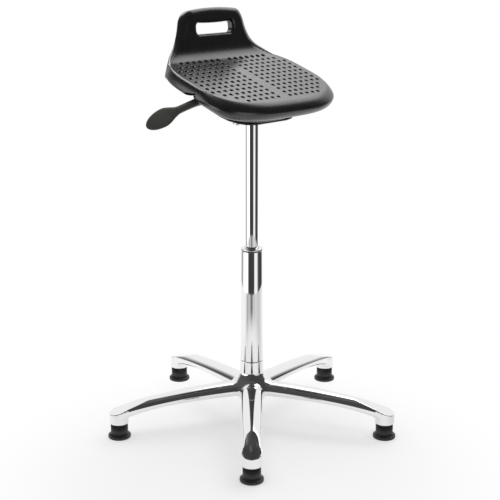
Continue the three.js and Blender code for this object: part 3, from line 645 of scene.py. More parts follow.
FOAM = Finish(
    "moulded_foam_skin", "foam", (0.005, 0.005, 0.0055), (0.009, 0.009, 0.0095), 0.27, 0.05,
    specular=1.0, grain_scale=1100.0, grain_depth=0.00008, grain_strength=0.5,
)
CAST = Finish(
    "polished_casting", "polished_aluminium", (0.9, 0.9, 0.905), (0.86, 0.86, 0.87), 0.06, 0.03, 1.0,
    mottle_scale=18.0, grain_scale=60.0, grain_depth=0.0002, grain_strength=0.1,
)
CHROME = Finish(
    "bright_chrome", "chrome", (0.9, 0.9, 0.9), (0.87, 0.87, 0.875), 0.045, 0.02, 1.0,
    mottle_scale=12.0, grain_scale=40.0, grain_depth=0.0003, grain_strength=0.04,
)
PLASTIC = Finish(
    "moulded_plastic", "plastic", (0.014, 0.014, 0.0145), (0.022, 0.022, 0.022), 0.42, 0.08,
    grain_scale=2400.0, grain_depth=0.00003,
)
GLIDE_RUBBER = Finish(
    "glide_moulding", "rubber", (0.012, 0.012, 0.0125), (0.02, 0.02, 0.02), 0.45, 0.08,
    grain_scale=1800.0, grain_depth=0.00004,
)
LEVER = Finish(
    "lever_moulding", "lever_plastic", (0.045, 0.045, 0.04), (0.065, 0.064, 0.057), 0.32, 0.06,
    specular=0.6, grain_scale=1400.0, grain_depth=0.00006,
)
ZINC = Finish(
    "bright_zinc", "steel", (0.62, 0.63, 0.65), (0.55, 0.55, 0.56), 0.3, 0.1, 1.0, grain_scale=900.0,
)
POWDER = Finish(
    "black_powder_coat", "black_steel", (0.012, 0.012, 0.012), (0.02, 0.02, 0.02), 0.5, 0.08,
    grain_scale=1600.0, grain_depth=0.0001, grain_strength=0.5,
)
BRASS = Finish(
    "turned_brass", "brass", (0.72, 0.52, 0.24), (0.6, 0.42, 0.2), 0.3, 0.1, 1.0, grain_scale=1200.0,
)
VENEER = VeneerFinish(
    "raw_plywood", "plywood", (0.62, 0.43, 0.25), (0.38, 0.24, 0.13), 0.65, 0.1,
    grain_scale=300.0, grain_detail=4.0,
)
FINISHES = {
    finish.slot: finish
    for finish in (FOAM, CAST, CHROME, PLASTIC, GLIDE_RUBBER, LEVER, ZINC, POWDER, BRASS, VENEER)
}


@dataclass(frozen=True)
class Made:
    """A surface with its finish, its body, the CAD node it stands for and its fill if padded."""

    piece: bpy.types.Object
    finish: Finish
    body: Body
    node: str
    fill: Optional[float] = None


class SubAssembly(ABC):
    """Some pieces that are built together and then dressed."""

    @abstractmethod
    def build(self) -> list[Made]:
        """Makes the pieces."""

    def dress(self, pieces: list[Made]) -> None:
        """Gives each piece its finish and body and hides the CAD node that it stands for.

        Args:
            pieces: what build() made.
        """
        for made in pieces:
            made.finish.dress(made.piece)
            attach(made.piece, made.body.value)
            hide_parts(made.node)
            LOG.info("%s: %d faces for %s", made.piece.name, len(made.piece.data.polygons), made.node)


# The seat, in its own frame: x towards the sitter's left, y to the back, n up from the sitting plane


@dataclass
class SeatMoulding(SubAssembly):
    """Integral-skin foam seat with its pits, rolled flank, underside boss, handle and hand slot.

    A pair of sizes is the one in front and the one at the sides and back.
    """

    plane_height: float = 786.6
    tilt: float = math.radians(18.4)
    half_width: float = 176.0
    front: float = 124.0
    back: float = 133.0
    shape: float = 3.15
    roll_start: tuple[float, float] = (7.6, 5.0)
    roll_shape: float = 1.5
    bulge: tuple[float, float] = (14.1, 5.5)
    bulge_depth: float = 17.7
    lip_depth: tuple[float, float] = (39.5, 32.5)
    lip_inset: tuple[float, float] = (3.9, 28.0)
    lip_shape: float = 2.0
    rim_round: float = 5.0
    underside_rise: tuple[float, float] = (7.5, 3.0)
    lip_band: float = 9.0
    lip_edge: float = 3.0
    corner_turns: tuple[float, float] = (-0.89, -0.25)
    pit_pitch: float = 17.4
    pit_radius: float = 5.2
    pit_depth: float = 4.6
    pit_wall_shape: float = 3.2
    pit_floor_shape: float = 1.5
    pit_floor: float = -9.0
    pit_start: float = -7.0
    pit_ceiling: float = 2.0
    first_pit_row: float = 100.4
    pit_rows: int = 12
    field_half_width: float = 165.0
    field_front: float = 109.5
    field_back: float = 107.5
    handle_front: float = 112.0
    handle_lean: float = math.radians(22.8)
    handle_thickness: float = 26.5
    handle_top: float = 92.7
    handle_crown: float = 4.2
    handle_crown_half: float = 70.0
    handle_back_drop: float = 2.1
    handle_neck: float = 84.0
    handle_spread: float = 39.8
    handle_taper_rise: float = 78.0
    handle_taper_shape: float = 1.73
    handle_flare: float = 41.6
    handle_flare_rise: float = 9.1
    handle_draft: float = 17.4
    handle_draft_rise: float = 25.0
    handle_corner: float = 22.9
    handle_edge: float = 9.0
    handle_fillet: float = 23.0
    handle_root: float = 24.0
    wall_slope: float = 0.95
    wall_least: float = 0.5
    roll_rise: float = 51.8
    roll_reach: float = 17.7
    roll_share: float = 0.96
    roll_side: float = 3.0
    roll_side_reach: float = 1.2
    handle_trim: tuple[float, float] = (24.0, 4.0)
    trim_edge: float = 4.0
    slot_middle: float = 56.5
    slot_half_length: float = 53.0
    slot_half_height: float = 12.4
    slot_corner: float = 9.0
    slot_rim: float = 7.5
    slot_sag: float = 2.4
    boss_half_width: float = 101.0
    boss_half_depth: float = 90.5
    boss_back: float = 4.0
    boss_depth: float = 66.0
    boss_shape: float = 3.2
    boss_draft: float = 0.05
    boss_edge: float = 3.0
    boss_top_edge: float = 1.0
    boss_fillet: float = 5.0
    pocket_half_width: float = 84.0
    pocket_half_depth: float = 64.0
    pocket_corner: float = 36.0
    pocket_edge: float = 1.0
    board_depth: float = 26.0
    notch_half_width: float = 17.0
    notch_start: float = 130.0
    notch_top: float = 768.0
    notch_edge: float = 1.5
    lever_slot_drop: float = 13.0
    lever_slot_share: float = 3.0
    steps_per_pit: int = 9
    rise_step: float = 2.3
    margin: float = 4.0

    def outline(self, x: Array, y: Array) -> Array:
        """Distance from the rim's outline, a superellipse a little deeper behind than in front."""
        return superellipse(x, y, self.half_width, np.where(y > 0, self.back, self.front), self.shape)

    def towards_back(self, pair: tuple[float, float], y: Array) -> Array:
        """Value in front, turning smoothly into that of the sides and back round the front corners."""
        share = smooth_step(y / self.front, *self.corner_turns)
        return pair[0] + (pair[1] - pair[0]) * share

    def pad(self, x: Array, y: Array, n: Array) -> Array:
        """Pad: a superellipse from inside the rim to the bulge, over an ellipse from there to the lip.

        Both are drawn smaller by the rim's round edge and grown again by it. The hollow of the underside
        is cut out inside the lip.

        Args:
            x: places to the left of the seat's middle.
            y: places towards the back.
            n: heights above the sitting plane.

        Returns:
            The field at those places.
        """
        reach = self.outline(x, y)
        bulge = self.towards_back(self.bulge, y)
        depth = self.towards_back(self.lip_depth, y)
        inset = self.towards_back(self.lip_inset, y)
        below = n + self.bulge_depth
        start = self.towards_back(self.roll_start, y)
        out = bulge - self.rim_round
        inside = np.maximum(reach + start, 0)
        rise = self.bulge_depth - self.rim_round
        upper = superellipse(inside, below, out + start, rise, self.roll_shape)
        under = np.maximum(reach + inset, 0)
        down = depth - self.bulge_depth - self.rim_round
        lower = superellipse(under, below, out + inset, down, self.lip_shape)
        body = np.where(below > 0, upper, lower) - self.rim_round
        ceiling = n + depth - self.towards_back(self.underside_rise, y)
        hollow = round_overlap(reach + inset + self.lip_band, ceiling, self.lip_edge)
        return round_cut(body, hollow, self.lip_edge)

    def pits(self, x: Array, y: Array) -> Array:
        """Depth of the pits on a square grid: one less a power of the way out of a pit, to a power.

        Args:
            x: places to the left of the seat's middle.
            y: places towards the back.

        Returns:
            The depth, none outside the two fields of pits.
        """
        row = np.round((self.first_pit_row + y) / self.pit_pitch)
        column = np.round(x / self.pit_pitch)
        pit_x = column * self.pit_pitch
        pit_y = row * self.pit_pitch - self.first_pit_row
        limit = np.where(pit_y > 0, self.field_back, self.field_front)
        across = np.abs(pit_x / self.field_half_width) ** self.shape
        inside = across + np.abs(pit_y / limit) ** self.shape < 1
        inside &= (column != 0) & (row >= 0) & (row < self.pit_rows)
        share = np.clip(np.hypot(x - pit_x, y - pit_y) / self.pit_radius, 0, 1)
        depth = self.pit_depth * (1 - share**self.pit_wall_shape) ** self.pit_floor_shape
        return np.where(inside, depth, 0)

    def handle_half_width(self, n: Array) -> Array:
        """Half width of the handle: a neck, a spread by a power of the height left, and a flare.

        Args:
            n: heights above the sitting plane.

        Returns:
            The half width at each height.
        """
        rise = np.maximum(n, 0)
        left = np.clip(1 - rise / self.handle_taper_rise, 0, 1)
        flare = self.handle_flare * np.exp(-rise / self.handle_flare_rise)
        return self.handle_neck + self.handle_spread * left**self.handle_taper_shape + flare

    def across_handle(self, y: Array, n: Array) -> Array:
        """Distance from the middle plane of the leaning handle, positive behind it."""
        front = (y - self.handle_front - math.tan(self.handle_lean) * n) * math.cos(self.handle_lean)
        return front - self.handle_thickness / 2

    def handle(self, x: Array, y: Array, n: Array) -> Array:
        """Handle: a leaning wall that rolls forward towards its top, in a tapered outline.

        The back rolls forward by nearly a quarter of an ellipse over the last of the height, and further
        by a cube of the way to each side. The crown falls by a square of the way out from the middle.

        Args:
            x: places to the left of the seat's middle.
            y: places towards the back.
            n: heights above the sitting plane.

        Returns:
            The field at those places.
        """
        across = self.across_handle(y, n)
        behind = np.clip(across / self.handle_thickness + 0.5, 0, 1)
        draft = self.handle_draft * behind * smooth_step(n, 0, self.handle_draft_rise)
        half = self.handle_half_width(n) + draft
        over = np.clip((n - self.handle_top + self.roll_rise) / self.roll_rise, 0, 1)
        roll = self.roll_reach * (1 - np.sqrt(1 - self.roll_share * over**2))
        roll = roll + self.roll_side * over**2 * np.clip(np.abs(x) / half, 0, self.roll_side_reach) ** 3
        thickness = self.handle_thickness - roll
        wall = (np.abs(across + roll / 2) - thickness / 2) * self.wall_slope
        slope = self.handle_half_width(n + 1) - self.handle_half_width(n)
        side = (np.abs(x) - half) / np.sqrt(1 + slope**2)
        drop = self.handle_crown + self.handle_back_drop * behind**2
        drop = drop * (x / self.handle_crown_half) ** 2
        outline = round_overlap(side, n - self.handle_top + drop, self.handle_corner)
        outline = np.maximum(outline, -n - self.handle_root)
        return round_overlap(outline, wall, np.minimum(self.handle_edge, thickness / 2 - self.wall_least))

    def hand_slot(self, x: Array, y: Array, n: Array) -> Array:
        """Hand slot: a round-cornered hole square to the handle's face, its upper edge bowed down.

        Args:
            x: places to the left of the seat's middle.
            y: places towards the back.
            n: heights above the sitting plane.

        Returns:
            The field at those places.
        """
        sin, cos = math.sin(self.handle_lean), math.cos(self.handle_lean)
        up = (y - self.handle_front) * sin + n * cos - self.slot_middle / cos
        up = up + self.slot_sag * np.clip(1 - (x / self.slot_half_length) ** 2, 0, 1) * (up > 0)
        hole = rounded_box(x, up, self.slot_half_length, self.slot_half_height, self.slot_corner)
        return np.maximum(hole, np.abs(self.across_handle(y, n)) - 2 * self.handle_thickness)

    def boss(self, x: Array, y: Array, n: Array) -> Array:
        """Boss under the pad: a squarish prism with a slight draft and a soft lower edge.

        Args:
            x: places to the left of the seat's middle.
            y: places towards the back.
            n: heights above the sitting plane.

        Returns:
            The field at those places.
        """
        along = y - self.boss_back
        around = superellipse(x, along, self.boss_half_width, self.boss_half_depth, self.boss_shape)
        around = around - self.boss_draft * (n + self.boss_depth)
        boss = round_overlap(around, -n - self.boss_depth, self.boss_edge)
        return round_overlap(boss, n + self.bulge_depth, self.boss_top_edge)

    def lever_room(self, x: Array, side: Array, height: Array) -> Array:
        """Notch in the lip and slot in the boss that the height lever passes through.

        Args:
            x: places to the left of the seat's middle.
            side: level distances behind the column's axis.
            height: heights above the floor.

        Returns:
            The field at those places.
        """
        notch = np.maximum(x + self.notch_start, height - self.notch_top)
        notch = np.maximum(notch, np.abs(side) - self.notch_half_width)
        half = self.notch_half_width / self.lever_slot_share
        slot = np.maximum(np.abs(side) - half, height - self.notch_top + self.lever_slot_drop)
        return np.minimum(notch, np.maximum(slot, x + self.pocket_half_width / 2))

    def solid(self, x: Array, y: Array, n: Array) -> Array:
        """The whole moulding as one field.

        Args:
            x: places to the left of the seat's middle.
            y: places towards the back.
            n: heights above the sitting plane.

        Returns:
            The field at those places.
        """
        body = round_union(self.pad(x, y, n), self.boss(x, y, n), self.boss_fillet)
        body = round_union(body, self.handle(x, y, n), self.handle_fillet)
        leaning = self.outline(x, y - math.tan(self.handle_lean) * np.maximum(n, 0))
        body = round_overlap(body, leaning - self.towards_back(self.handle_trim, y), self.trim_edge)
        body = round_cut(body, self.hand_slot(x, y, n), self.slot_rim)
        along = y - self.boss_back
        room = rounded_box(x, along, self.pocket_half_width, self.pocket_half_depth, self.pocket_corner)
        body = round_cut(body, np.maximum(room, n + self.board_depth), self.pocket_edge)
        world_y = y * math.cos(self.tilt) - n * math.sin(self.tilt)
        height = self.plane_height + y * math.sin(self.tilt) + n * math.cos(self.tilt)
        body = round_cut(body, self.lever_room(x, world_y, height), self.notch_edge)
        near_top = smooth_step(n, self.pit_floor, self.pit_start)
        return body + self.pits(x, y) * near_top * (n < self.pit_ceiling)

    def place(self, points: Array) -> Array:
        """Turns points or directions of the seat's frame about x: the product with a turning matrix.

        Args:
            points: rows of three.

        Returns:
            The turned rows.
        """
        cos, sin = math.cos(self.tilt), math.sin(self.tilt)
        turn = np.array([[1, 0, 0], [0, cos, -sin], [0, sin, cos]])
        return points @ turn.T

    def build(self) -> list[Made]:
        """Meshes the moulding in its own frame, on a grid with a point over each pit, and places it.

        Returns:
            The moulding.
        """
        step = self.pit_pitch / self.steps_per_pit
        reach = max(self.bulge) + self.margin
        left = step * math.ceil((self.half_width + reach) / step)
        fore = self.first_pit_row + step * math.ceil((self.front + reach - self.first_pit_row) / step)
        top_y = self.handle_front + math.tan(self.handle_lean) * self.handle_top
        mesher = FieldMesher(
            (-left, -fore, -self.boss_depth - self.margin),
            (left, top_y + 2 * self.handle_thickness, self.handle_top + self.margin),
            (step, step, self.rise_step),
        )
        points, faces, normals = mesher.surface(self.solid)
        placed = self.place(points) + np.array([0, 0, self.plane_height])
        piece = new_mesh("seat_moulding", placed, faces.tolist())
        piece.data.normals_split_custom_set_from_vertices(self.place(normals).tolist())
        return [Made(piece, FOAM, Body.SEAT, "seat_pad", fill=1.0)]


# The star base, about the column axis


@dataclass
class StarBase(SubAssembly):
    """Polished casting: five crowned arms with slanting flats, blended into a tall neck."""

    circle: float = 309.0
    neck_radius: float = 25.8
    neck_top: float = 148.0
    hub_bottom: float = 52.0
    hub_radius: float = 29.0
    root_top: float = 99.5
    top_drop: float = 24.0
    top_share: float = 1.88
    root_bottom: float = 68.0
    bottom_drop: float = 27.0
    bottom_share: float = 4.0
    root_half: float = 25.0
    tip_half: float = 18.6
    width_share: float = 1.7
    waist_share: float = 0.4
    crown_shape: float = 2.2
    keel_shape: float = 2.7
    neck_fillet: float = 24.0
    crotch_fillet: float = 13.0
    facet_start: float = 243.0
    facet_slope: float = math.radians(17.9)
    facet_edge: float = 1.2
    tip_radius: float = 21.3
    tip_bottom: float = 34.0
    pocket_ends: tuple[float, ...] = (56.0, 148.0, 153.0, 264.0)
    pocket_share: float = 0.58
    pocket_roof: float = 10.0
    pocket_corner: float = 4.0
    pocket_roof_edge: float = 3.0
    pocket_edge: float = 1.0
    tip_edge: float = 1.5
    tip_fillet: float = 5.0
    neck_edge: float = 1.0
    foot_half_height: float = 8.0
    foot_edge: float = 2.0
    foot_fillet: float = 4.0
    spigot_radius: float = 22.3
    spigot_edge: float = 0.5
    grid: tuple[float, float, float] = (2.0, 2.0, 2.0)
    margin: float = 4.0

    def top(self, along: Array) -> Array:
        """Height of an arm's crest: its root height less a drop by a power of the way out."""
        return self.root_top - self.top_drop * (along / self.circle) ** self.top_share

    def bottom(self, along: Array) -> Array:
        """Height of an arm's underside by the same rule."""
        return self.root_bottom - self.bottom_drop * (along / self.circle) ** self.bottom_share

    def half(self, along: Array) -> Array:
        """Half width of an arm by the same rule."""
        return self.root_half - (self.root_half - self.tip_half) * (along / self.circle) ** self.width_share

    def arm(self, along: Array, side: Array, z: Array) -> Array:
        """Arm along its own line: a crown over a keel, joined to the tip's boss and sliced by a flat.

        Crown and keel are superellipses that meet at the waist, where the arm is widest.

        Args:
            along: distances out along the arm's line.
            side: distances beside that line.
            z: heights above the floor.

        Returns:
            The field at those places.
        """
        out = np.clip(along, 0, self.circle)
        top, bottom = self.top(out), self.bottom(out)
        waist = bottom + self.waist_share * (top - bottom)
        crown = superellipse(side, z - waist, self.half(out), top - waist, self.crown_shape)
        keel = superellipse(side, z - waist, self.half(out), waist - bottom, self.keel_shape)
        bar = np.where(z > waist, crown, keel)
        bar = np.maximum(bar, np.maximum(along - self.circle, -along))
        around = np.hypot(along - self.circle, side) - self.tip_radius
        ends = np.maximum(self.tip_bottom - z, z - self.top(self.circle))
        body = round_union(bar, round_overlap(around, ends, self.tip_edge), self.tip_fillet)
        flat = z - self.top(np.array(self.facet_start))
        flat = flat + (along - self.facet_start) * math.tan(self.facet_slope)
        body = round_overlap(body, flat * math.cos(self.facet_slope), self.facet_edge)
        return self.hollowed(body, along, side, z)

    def hollowed(self, body: Array, along: Array, side: Array, z: Array) -> Array:
        """Takes two pockets out of an arm's underside and leaves a rib between them.

        Args:
            body: the field of the solid arm.
            along: distances out along the arm's line.
            side: distances beside that line.
            z: heights above the floor.

        Returns:
            The field of the hollowed arm.
        """
        out = np.clip(along, 0, self.circle)
        walls = np.abs(side) - self.half(out) * self.pocket_share
        roof = z - self.top(out) + self.pocket_roof
        for start, end in zip(self.pocket_ends[::2], self.pocket_ends[1::2]):
            run = np.maximum(start - along, along - end)
            pocket = round_overlap(walls, run, self.pocket_corner)
            pocket = round_overlap(pocket, roof, self.pocket_roof_edge)
            body = round_cut(body, pocket, self.pocket_edge)
        return body

    def solid(self, x: Array, y: Array, z: Array) -> Array:
        """Neck and the two nearest arms: the plane is folded so that every arm is the same one.

        Args:
            x: distances to the left of the column's axis.
            y: distances behind the column's axis.
            z: heights above the floor.

        Returns:
            The field at those places.
        """
        turn = np.arctan2(y, x) - ARM_ANGLES[0]
        pitch = 2 * math.pi / len(ARM_ANGLES)
        local = (turn + pitch / 2) % pitch - pitch / 2
        distance = np.hypot(x, y)
        near = self.arm(distance * np.cos(local), distance * np.sin(local), z)
        other = local - np.copysign(pitch, local)
        far = self.arm(distance * np.cos(other), distance * np.sin(other), z)
        arms = round_union(near, far, self.crotch_fillet)
        neck = round_overlap(distance - self.neck_radius, z - self.neck_top, self.neck_edge)
        neck = np.maximum(neck, self.root_bottom - z)
        foot = np.abs(z - (self.hub_bottom + self.foot_half_height)) - self.foot_half_height
        foot = round_overlap(distance - self.hub_radius, foot, self.foot_edge)
        body = round_union(round_union(arms, neck, self.neck_fillet), foot, self.foot_fillet)
        return round_cut(body, distance - self.spigot_radius, self.spigot_edge)

    def build(self) -> list[Made]:
        """Meshes the casting.

        Returns:
            The casting.
        """
        reach = self.circle + self.tip_radius + self.margin
        low, high = self.tip_bottom - self.margin, self.neck_top + self.margin
        mesher = FieldMesher((-reach, -reach, low), (reach, reach, high), self.grid)
        points, faces, normals = mesher.surface(self.solid)
        piece = new_mesh("star_casting", points, faces.tolist())
        piece.data.normals_split_custom_set_from_vertices(normals.tolist())
        return [Made(piece, CAST, Body.BASE, "star_base")]


@dataclass
class Glides(SubAssembly):
    """Five black glides, each a flared foot under a round neck."""

    sole_radius: float = 23.0
    flange_radius: float = 25.0
    neck_radius: float = 19.0
    neck_start: float = 15.0
    height: float = 33.7
    sole_edge: float = 2.0
    flange_edge: float = 1.5
    flange_height: float = 5.5
    flange_turn: tuple[float, float] = (-10.0, 80.0)
    sweep_inset: float = 2.5
    sweep_foot: float = 7.2
    sweep_shape: float = 2.4
    sweep_points: int = 10
    sides: int = 64

    def profile(self) -> Array:
        """Profile: a soft sole edge, a rounded flange and a sweep to the neck by a power of the rise.

        Returns:
            Rows of distance and height.
        """
        sole = np.array([[AXIS_RADIUS, 0.0], [self.sole_radius, 0.0]])
        edge = arc((self.sole_radius, self.sole_edge), self.sole_edge, -90, 0)
        edge[:, 0] = np.minimum(edge[:, 0], self.flange_radius)
        middle = (self.flange_radius - self.flange_edge, self.flange_height)
        lip = arc(middle, self.flange_edge, *self.flange_turn)
        share = np.linspace(0, 1, self.sweep_points)
        out = self.flange_radius - self.sweep_inset - self.neck_radius
        sweep = np.stack([
            self.neck_radius + out * (1 - share) ** self.sweep_shape,
            self.sweep_foot + (self.neck_start - self.sweep_foot) * share,
        ], axis=1)
        neck = np.array([[self.neck_radius, self.height], [AXIS_RADIUS, self.height]])
        return np.vstack([sole, edge, lip, sweep, neck])

    def build(self) -> list[Made]:
        """Turns the same profile under each arm's tip.

        Returns:
            The five glides.
        """
        made = []
        for i, (x, y, _) in enumerate(GLIDES, start=1):
            foot = turned(f"glide_foot_{i}", self.profile(), (x - COLUMN_X, y - COLUMN_Y), self.sides)
            made.append(Made(foot, GLIDE_RUBBER, Body.BASE, f"glide_{i}"))
        return made


@dataclass
class Column(SubAssembly):
    """Conical chrome tube on the base, the bush in its mouth and the ring that covers the bush."""

    foot_radius: float = 25.3
    top_radius: float = 23.5
    foot_height: float = 148.3
    top_height: float = 404.0
    bore: float = 20.5
    spigot_radius: float = 22.0
    spigot_foot: float = 56.0
    floor_top: float = 60.0
    edge: float = 1.0
    bush_radius: float = 22.9
    bush_bore: float = 14.3
    bush_foot: float = 324.3
    bush_flange: float = 1.8
    rest_gap: float = 0.3
    ring_radius: float = 24.8
    ring_bore: float = 15.3
    ring_height: float = 3.2
    ring_edge: float = 1.1
    ring_bevel: float = 1.0
    spigot_bevel: float = 0.6
    shoulder_step: float = 0.1
    sides: int = 160

    def tube_profile(self) -> Array:
        """Spigot, shoulder, conical wall with a rolled mouth, and bore down to the floor.

        Returns:
            Rows of distance and height.
        """
        mouth = self.top_height - self.edge
        return np.vstack([
            [[AXIS_RADIUS, self.spigot_foot], [self.spigot_radius - self.spigot_bevel, self.spigot_foot]],
            [[self.spigot_radius, self.foot_height - self.shoulder_step]],
            arc((self.foot_radius - self.edge, self.foot_height + self.edge), self.edge, -90, 0),
            arc((self.top_radius - self.edge, mouth), self.edge, 0, 90),
            arc((self.bore + self.edge, mouth), self.edge, 90, 180),
            [[self.bore, self.floor_top], [AXIS_RADIUS, self.floor_top]],
        ])

    def bush_profile(self) -> Array:
        """Sleeve with a flange that rests on the tube's mouth, closed on itself.

        Returns:
            Rows of distance and height.
        """
        seat = self.top_height + self.rest_gap
        return np.array([
            [self.bush_bore, self.bush_foot], [self.bore - self.rest_gap, self.bush_foot],
            [self.bore - self.rest_gap, seat], [self.bush_radius, seat],
            [self.bush_radius, seat + self.bush_flange], [self.bush_bore, seat + self.bush_flange],
        ])

    def ring_profile(self) -> Array:
        """Flat ring with rolled outer edges and a bevelled bore, closed on itself.

        Returns:
            Rows of distance and height.
        """
        low = self.top_height + 2 * self.rest_gap + self.bush_flange
        high = low + self.ring_height
        outer = self.ring_radius - self.ring_edge
        return np.vstack([
            [[self.ring_bore, low]],
            arc((outer, low + self.ring_edge), self.ring_edge, -90, 0),
            arc((outer, high - self.ring_edge), self.ring_edge, 0, 90),
            [[self.ring_bore + self.ring_bevel, high], [self.ring_bore, high - self.ring_bevel]],
        ])

    def build(self) -> list[Made]:
        """Turns the three profiles.

        Returns:
            Tube, bush and ring.
        """
        tube = turned("column_cone", self.tube_profile(), sides=self.sides)
        bush = turned("bush_sleeve", self.bush_profile(), closed=True)
        ring = turned("cover_ring", self.ring_profile(), closed=True)
        return [
            Made(tube, CHROME, Body.BASE, "column_tube"),
            Made(bush, PLASTIC, Body.BASE, "guide_bush"),
            Made(ring, CHROME, Body.BASE, "column_collar"),
        ]


@dataclass
class GasLift(SubAssembly):
    """Bright cylinder that carries the seat, with its taper, and the socket it is pressed into."""

    radius: float = 14.0
    wall: float = 1.8
    foot_height: float = 343.4
    taper_start: float = 702.0
    taper_top: float = 738.0
    taper_radius: float = 12.8
    cap: float = 4.0
    pin_bore: float = 3.3
    edge: float = 0.8
    socket_radius: float = 20.0
    socket_top: float = 735.0
    socket_wall_gap: float = 0.3

    def cylinder_profile(self) -> Array:
        """Open foot with a rolled edge, wall, taper, capped top with a hole for the pin, and bore.

        Returns:
            Rows of distance and height.
        """
        inner = self.radius - self.wall
        return np.vstack([
            arc((self.radius - self.edge, self.foot_height + self.edge), self.edge, -90, 0),
            [[self.radius, self.taper_start]],
            arc((self.taper_radius - self.edge, self.taper_top - self.edge), self.edge, 0, 90),
            [[self.pin_bore, self.taper_top], [self.pin_bore, self.taper_top - self.cap]],
            [[self.taper_radius - self.wall, self.taper_top - self.cap]],
            [[inner, self.taper_start], [inner, self.foot_height]],
        ])

    def socket_profile(self) -> Array:
        """Turned socket with a bevelled rim and a tapered bore, closed on itself.

        Returns:
            Rows of distance and height.
        """
        fall = (self.radius - self.taper_radius) / (self.taper_top - self.taper_start)
        top_bore = self.radius + self.socket_wall_gap - fall * (self.socket_top - self.taper_start)
        outer, edge = self.socket_radius, 2 * self.edge
        return np.array([
            [self.radius + self.socket_wall_gap, self.taper_start],
            [outer - edge, self.taper_start], [outer, self.taper_start + edge],
            [outer, self.socket_top], [top_bore, self.socket_top],
        ])

    def build(self) -> list[Made]:
        """Turns the two profiles.

        Returns:
            Cylinder and socket.
        """
        cylinder = turned("lift_cylinder", self.cylinder_profile(), closed=True)
        socket = turned("taper_boss", self.socket_profile(), closed=True)
        return [
            Made(cylinder, CHROME, Body.SEAT, "gas_cylinder"),
            Made(socket, POWDER, Body.SEAT, "taper_socket"),
        ]


@dataclass
class LeverHandle(SubAssembly):
    """Moulded lever: a stalk that droops, narrows and twists into a drop-shaped paddle."""

    root_reach: float = 138.0
    bend_reach: float = 168.0
    end_reach: float = 294.0
    root_height: float = 750.0
    end_drop: float = 37.0
    root_size: tuple[float, float] = (21.0, 19.0)
    neck_size: tuple[float, float] = (16.5, 14.0)
    paddle_size: tuple[float, float] = (38.0, 8.0)
    neck_share: float = 0.43
    widest_share: float = 0.71
    twist: float = math.radians(59)
    twist_share: float = 0.6
    edge_shape: tuple[float, float] = (1.55, 2.1)
    edge_share: float = 0.6
    end_shape: tuple[float, float] = (1.0, 0.6)
    path_points: int = 400
    stations: int = 90
    points: int = 56

    def spine(self, share: Array) -> Array:
        """Points of a quadratic curve through its root and end, spread evenly by length.

        Args:
            share: shares of the way along.

        Returns:
            Rows of three.
        """
        start = np.array([-self.root_reach, 0, self.root_height])
        bend = np.array([-self.bend_reach, 0, self.root_height])
        end = np.array([-self.end_reach, 0, self.root_height - self.end_drop])
        t = np.linspace(0, 1, self.path_points)[:, None]
        path = (1 - t) ** 2 * start + 2 * t * (1 - t) * bend + t**2 * end
        length = np.concatenate([[0], np.cumsum(np.linalg.norm(np.diff(path, axis=0), axis=1))])
        way = length / length[-1]
        return np.stack([np.interp(share, way, path[:, k]) for k in range(3)], axis=1)

    def size(self, share: Array, index: int) -> Array:
        """Width or thickness: root to neck, out to the paddle by a squared sine, then a round end.

        Args:
            share: shares of the way along.
            index: 0 for the width and 1 for the thickness.

        Returns:
            The size at each share.
        """
        root, neck, paddle = self.root_size[index], self.neck_size[index], self.paddle_size[index]
        narrowing = root + (neck - root) * smooth_step(share, 0, self.neck_share)
        along = np.clip((share - self.neck_share) / (self.widest_share - self.neck_share), 0, 1)
        widening = neck + (paddle - neck) * np.sin(along * math.pi / 2) ** 2
        past = np.clip((share - self.widest_share) / (1 - self.widest_share), 0, 1)
        rounding = np.sqrt(1 - past**2) ** self.end_shape[index]
        return np.where(share < self.neck_share, narrowing, widening) * rounding

    def build(self) -> list[Made]:
        """Carries a superellipse along the spine, turned about the stalk by the twist.

        Returns:
            The lever.
        """
        share = np.sin(np.linspace(0, math.pi / 2, self.stations))[:-1]
        around = np.linspace(0, 2 * math.pi, self.points, endpoint=False)
        first, last = self.edge_shape
        edge = first + (last - first) * smooth_step(share, 0, self.edge_share)[:, None]
        across = np.sign(np.cos(around)) * np.abs(np.cos(around)) ** (2 / edge)
        up = np.sign(np.sin(around)) * np.abs(np.sin(around)) ** (2 / edge)
        across = across * self.size(share, 0)[:, None] / 2
        up = up * self.size(share, 1)[:, None] / 2
        turn = (self.twist * smooth_step(share, 0, self.twist_share))[:, None]
        middle = self.spine(share)[:, None, :]
        level = across * np.cos(turn) - up * np.sin(turn)
        rise = across * np.sin(turn) + up * np.cos(turn)
        offset = np.stack([np.zeros_like(across), level, rise], axis=2)
        return [Made(skin("lever_paddle", middle + offset), LEVER, Body.LEVER, "lever_handle")]


@dataclass
class CadPieces:
    """CAD nodes that keep their own shape: fasteners, plate, board, lever bar and the inside of the lift."""

    def dress(self) -> None:
        """Gives each visible node the finish of its slot."""
        slots = {part["node"]: part["material_slot"] for part in frame["record"]["subparts"]}
        for name, node in frame["nodes"].items():
            finish = FINISHES[slots[name]]
            node.data.materials.clear()
            node.data.materials.append(finish.material())
        LOG.info("CAD nodes dressed: %d", len(frame["nodes"]))


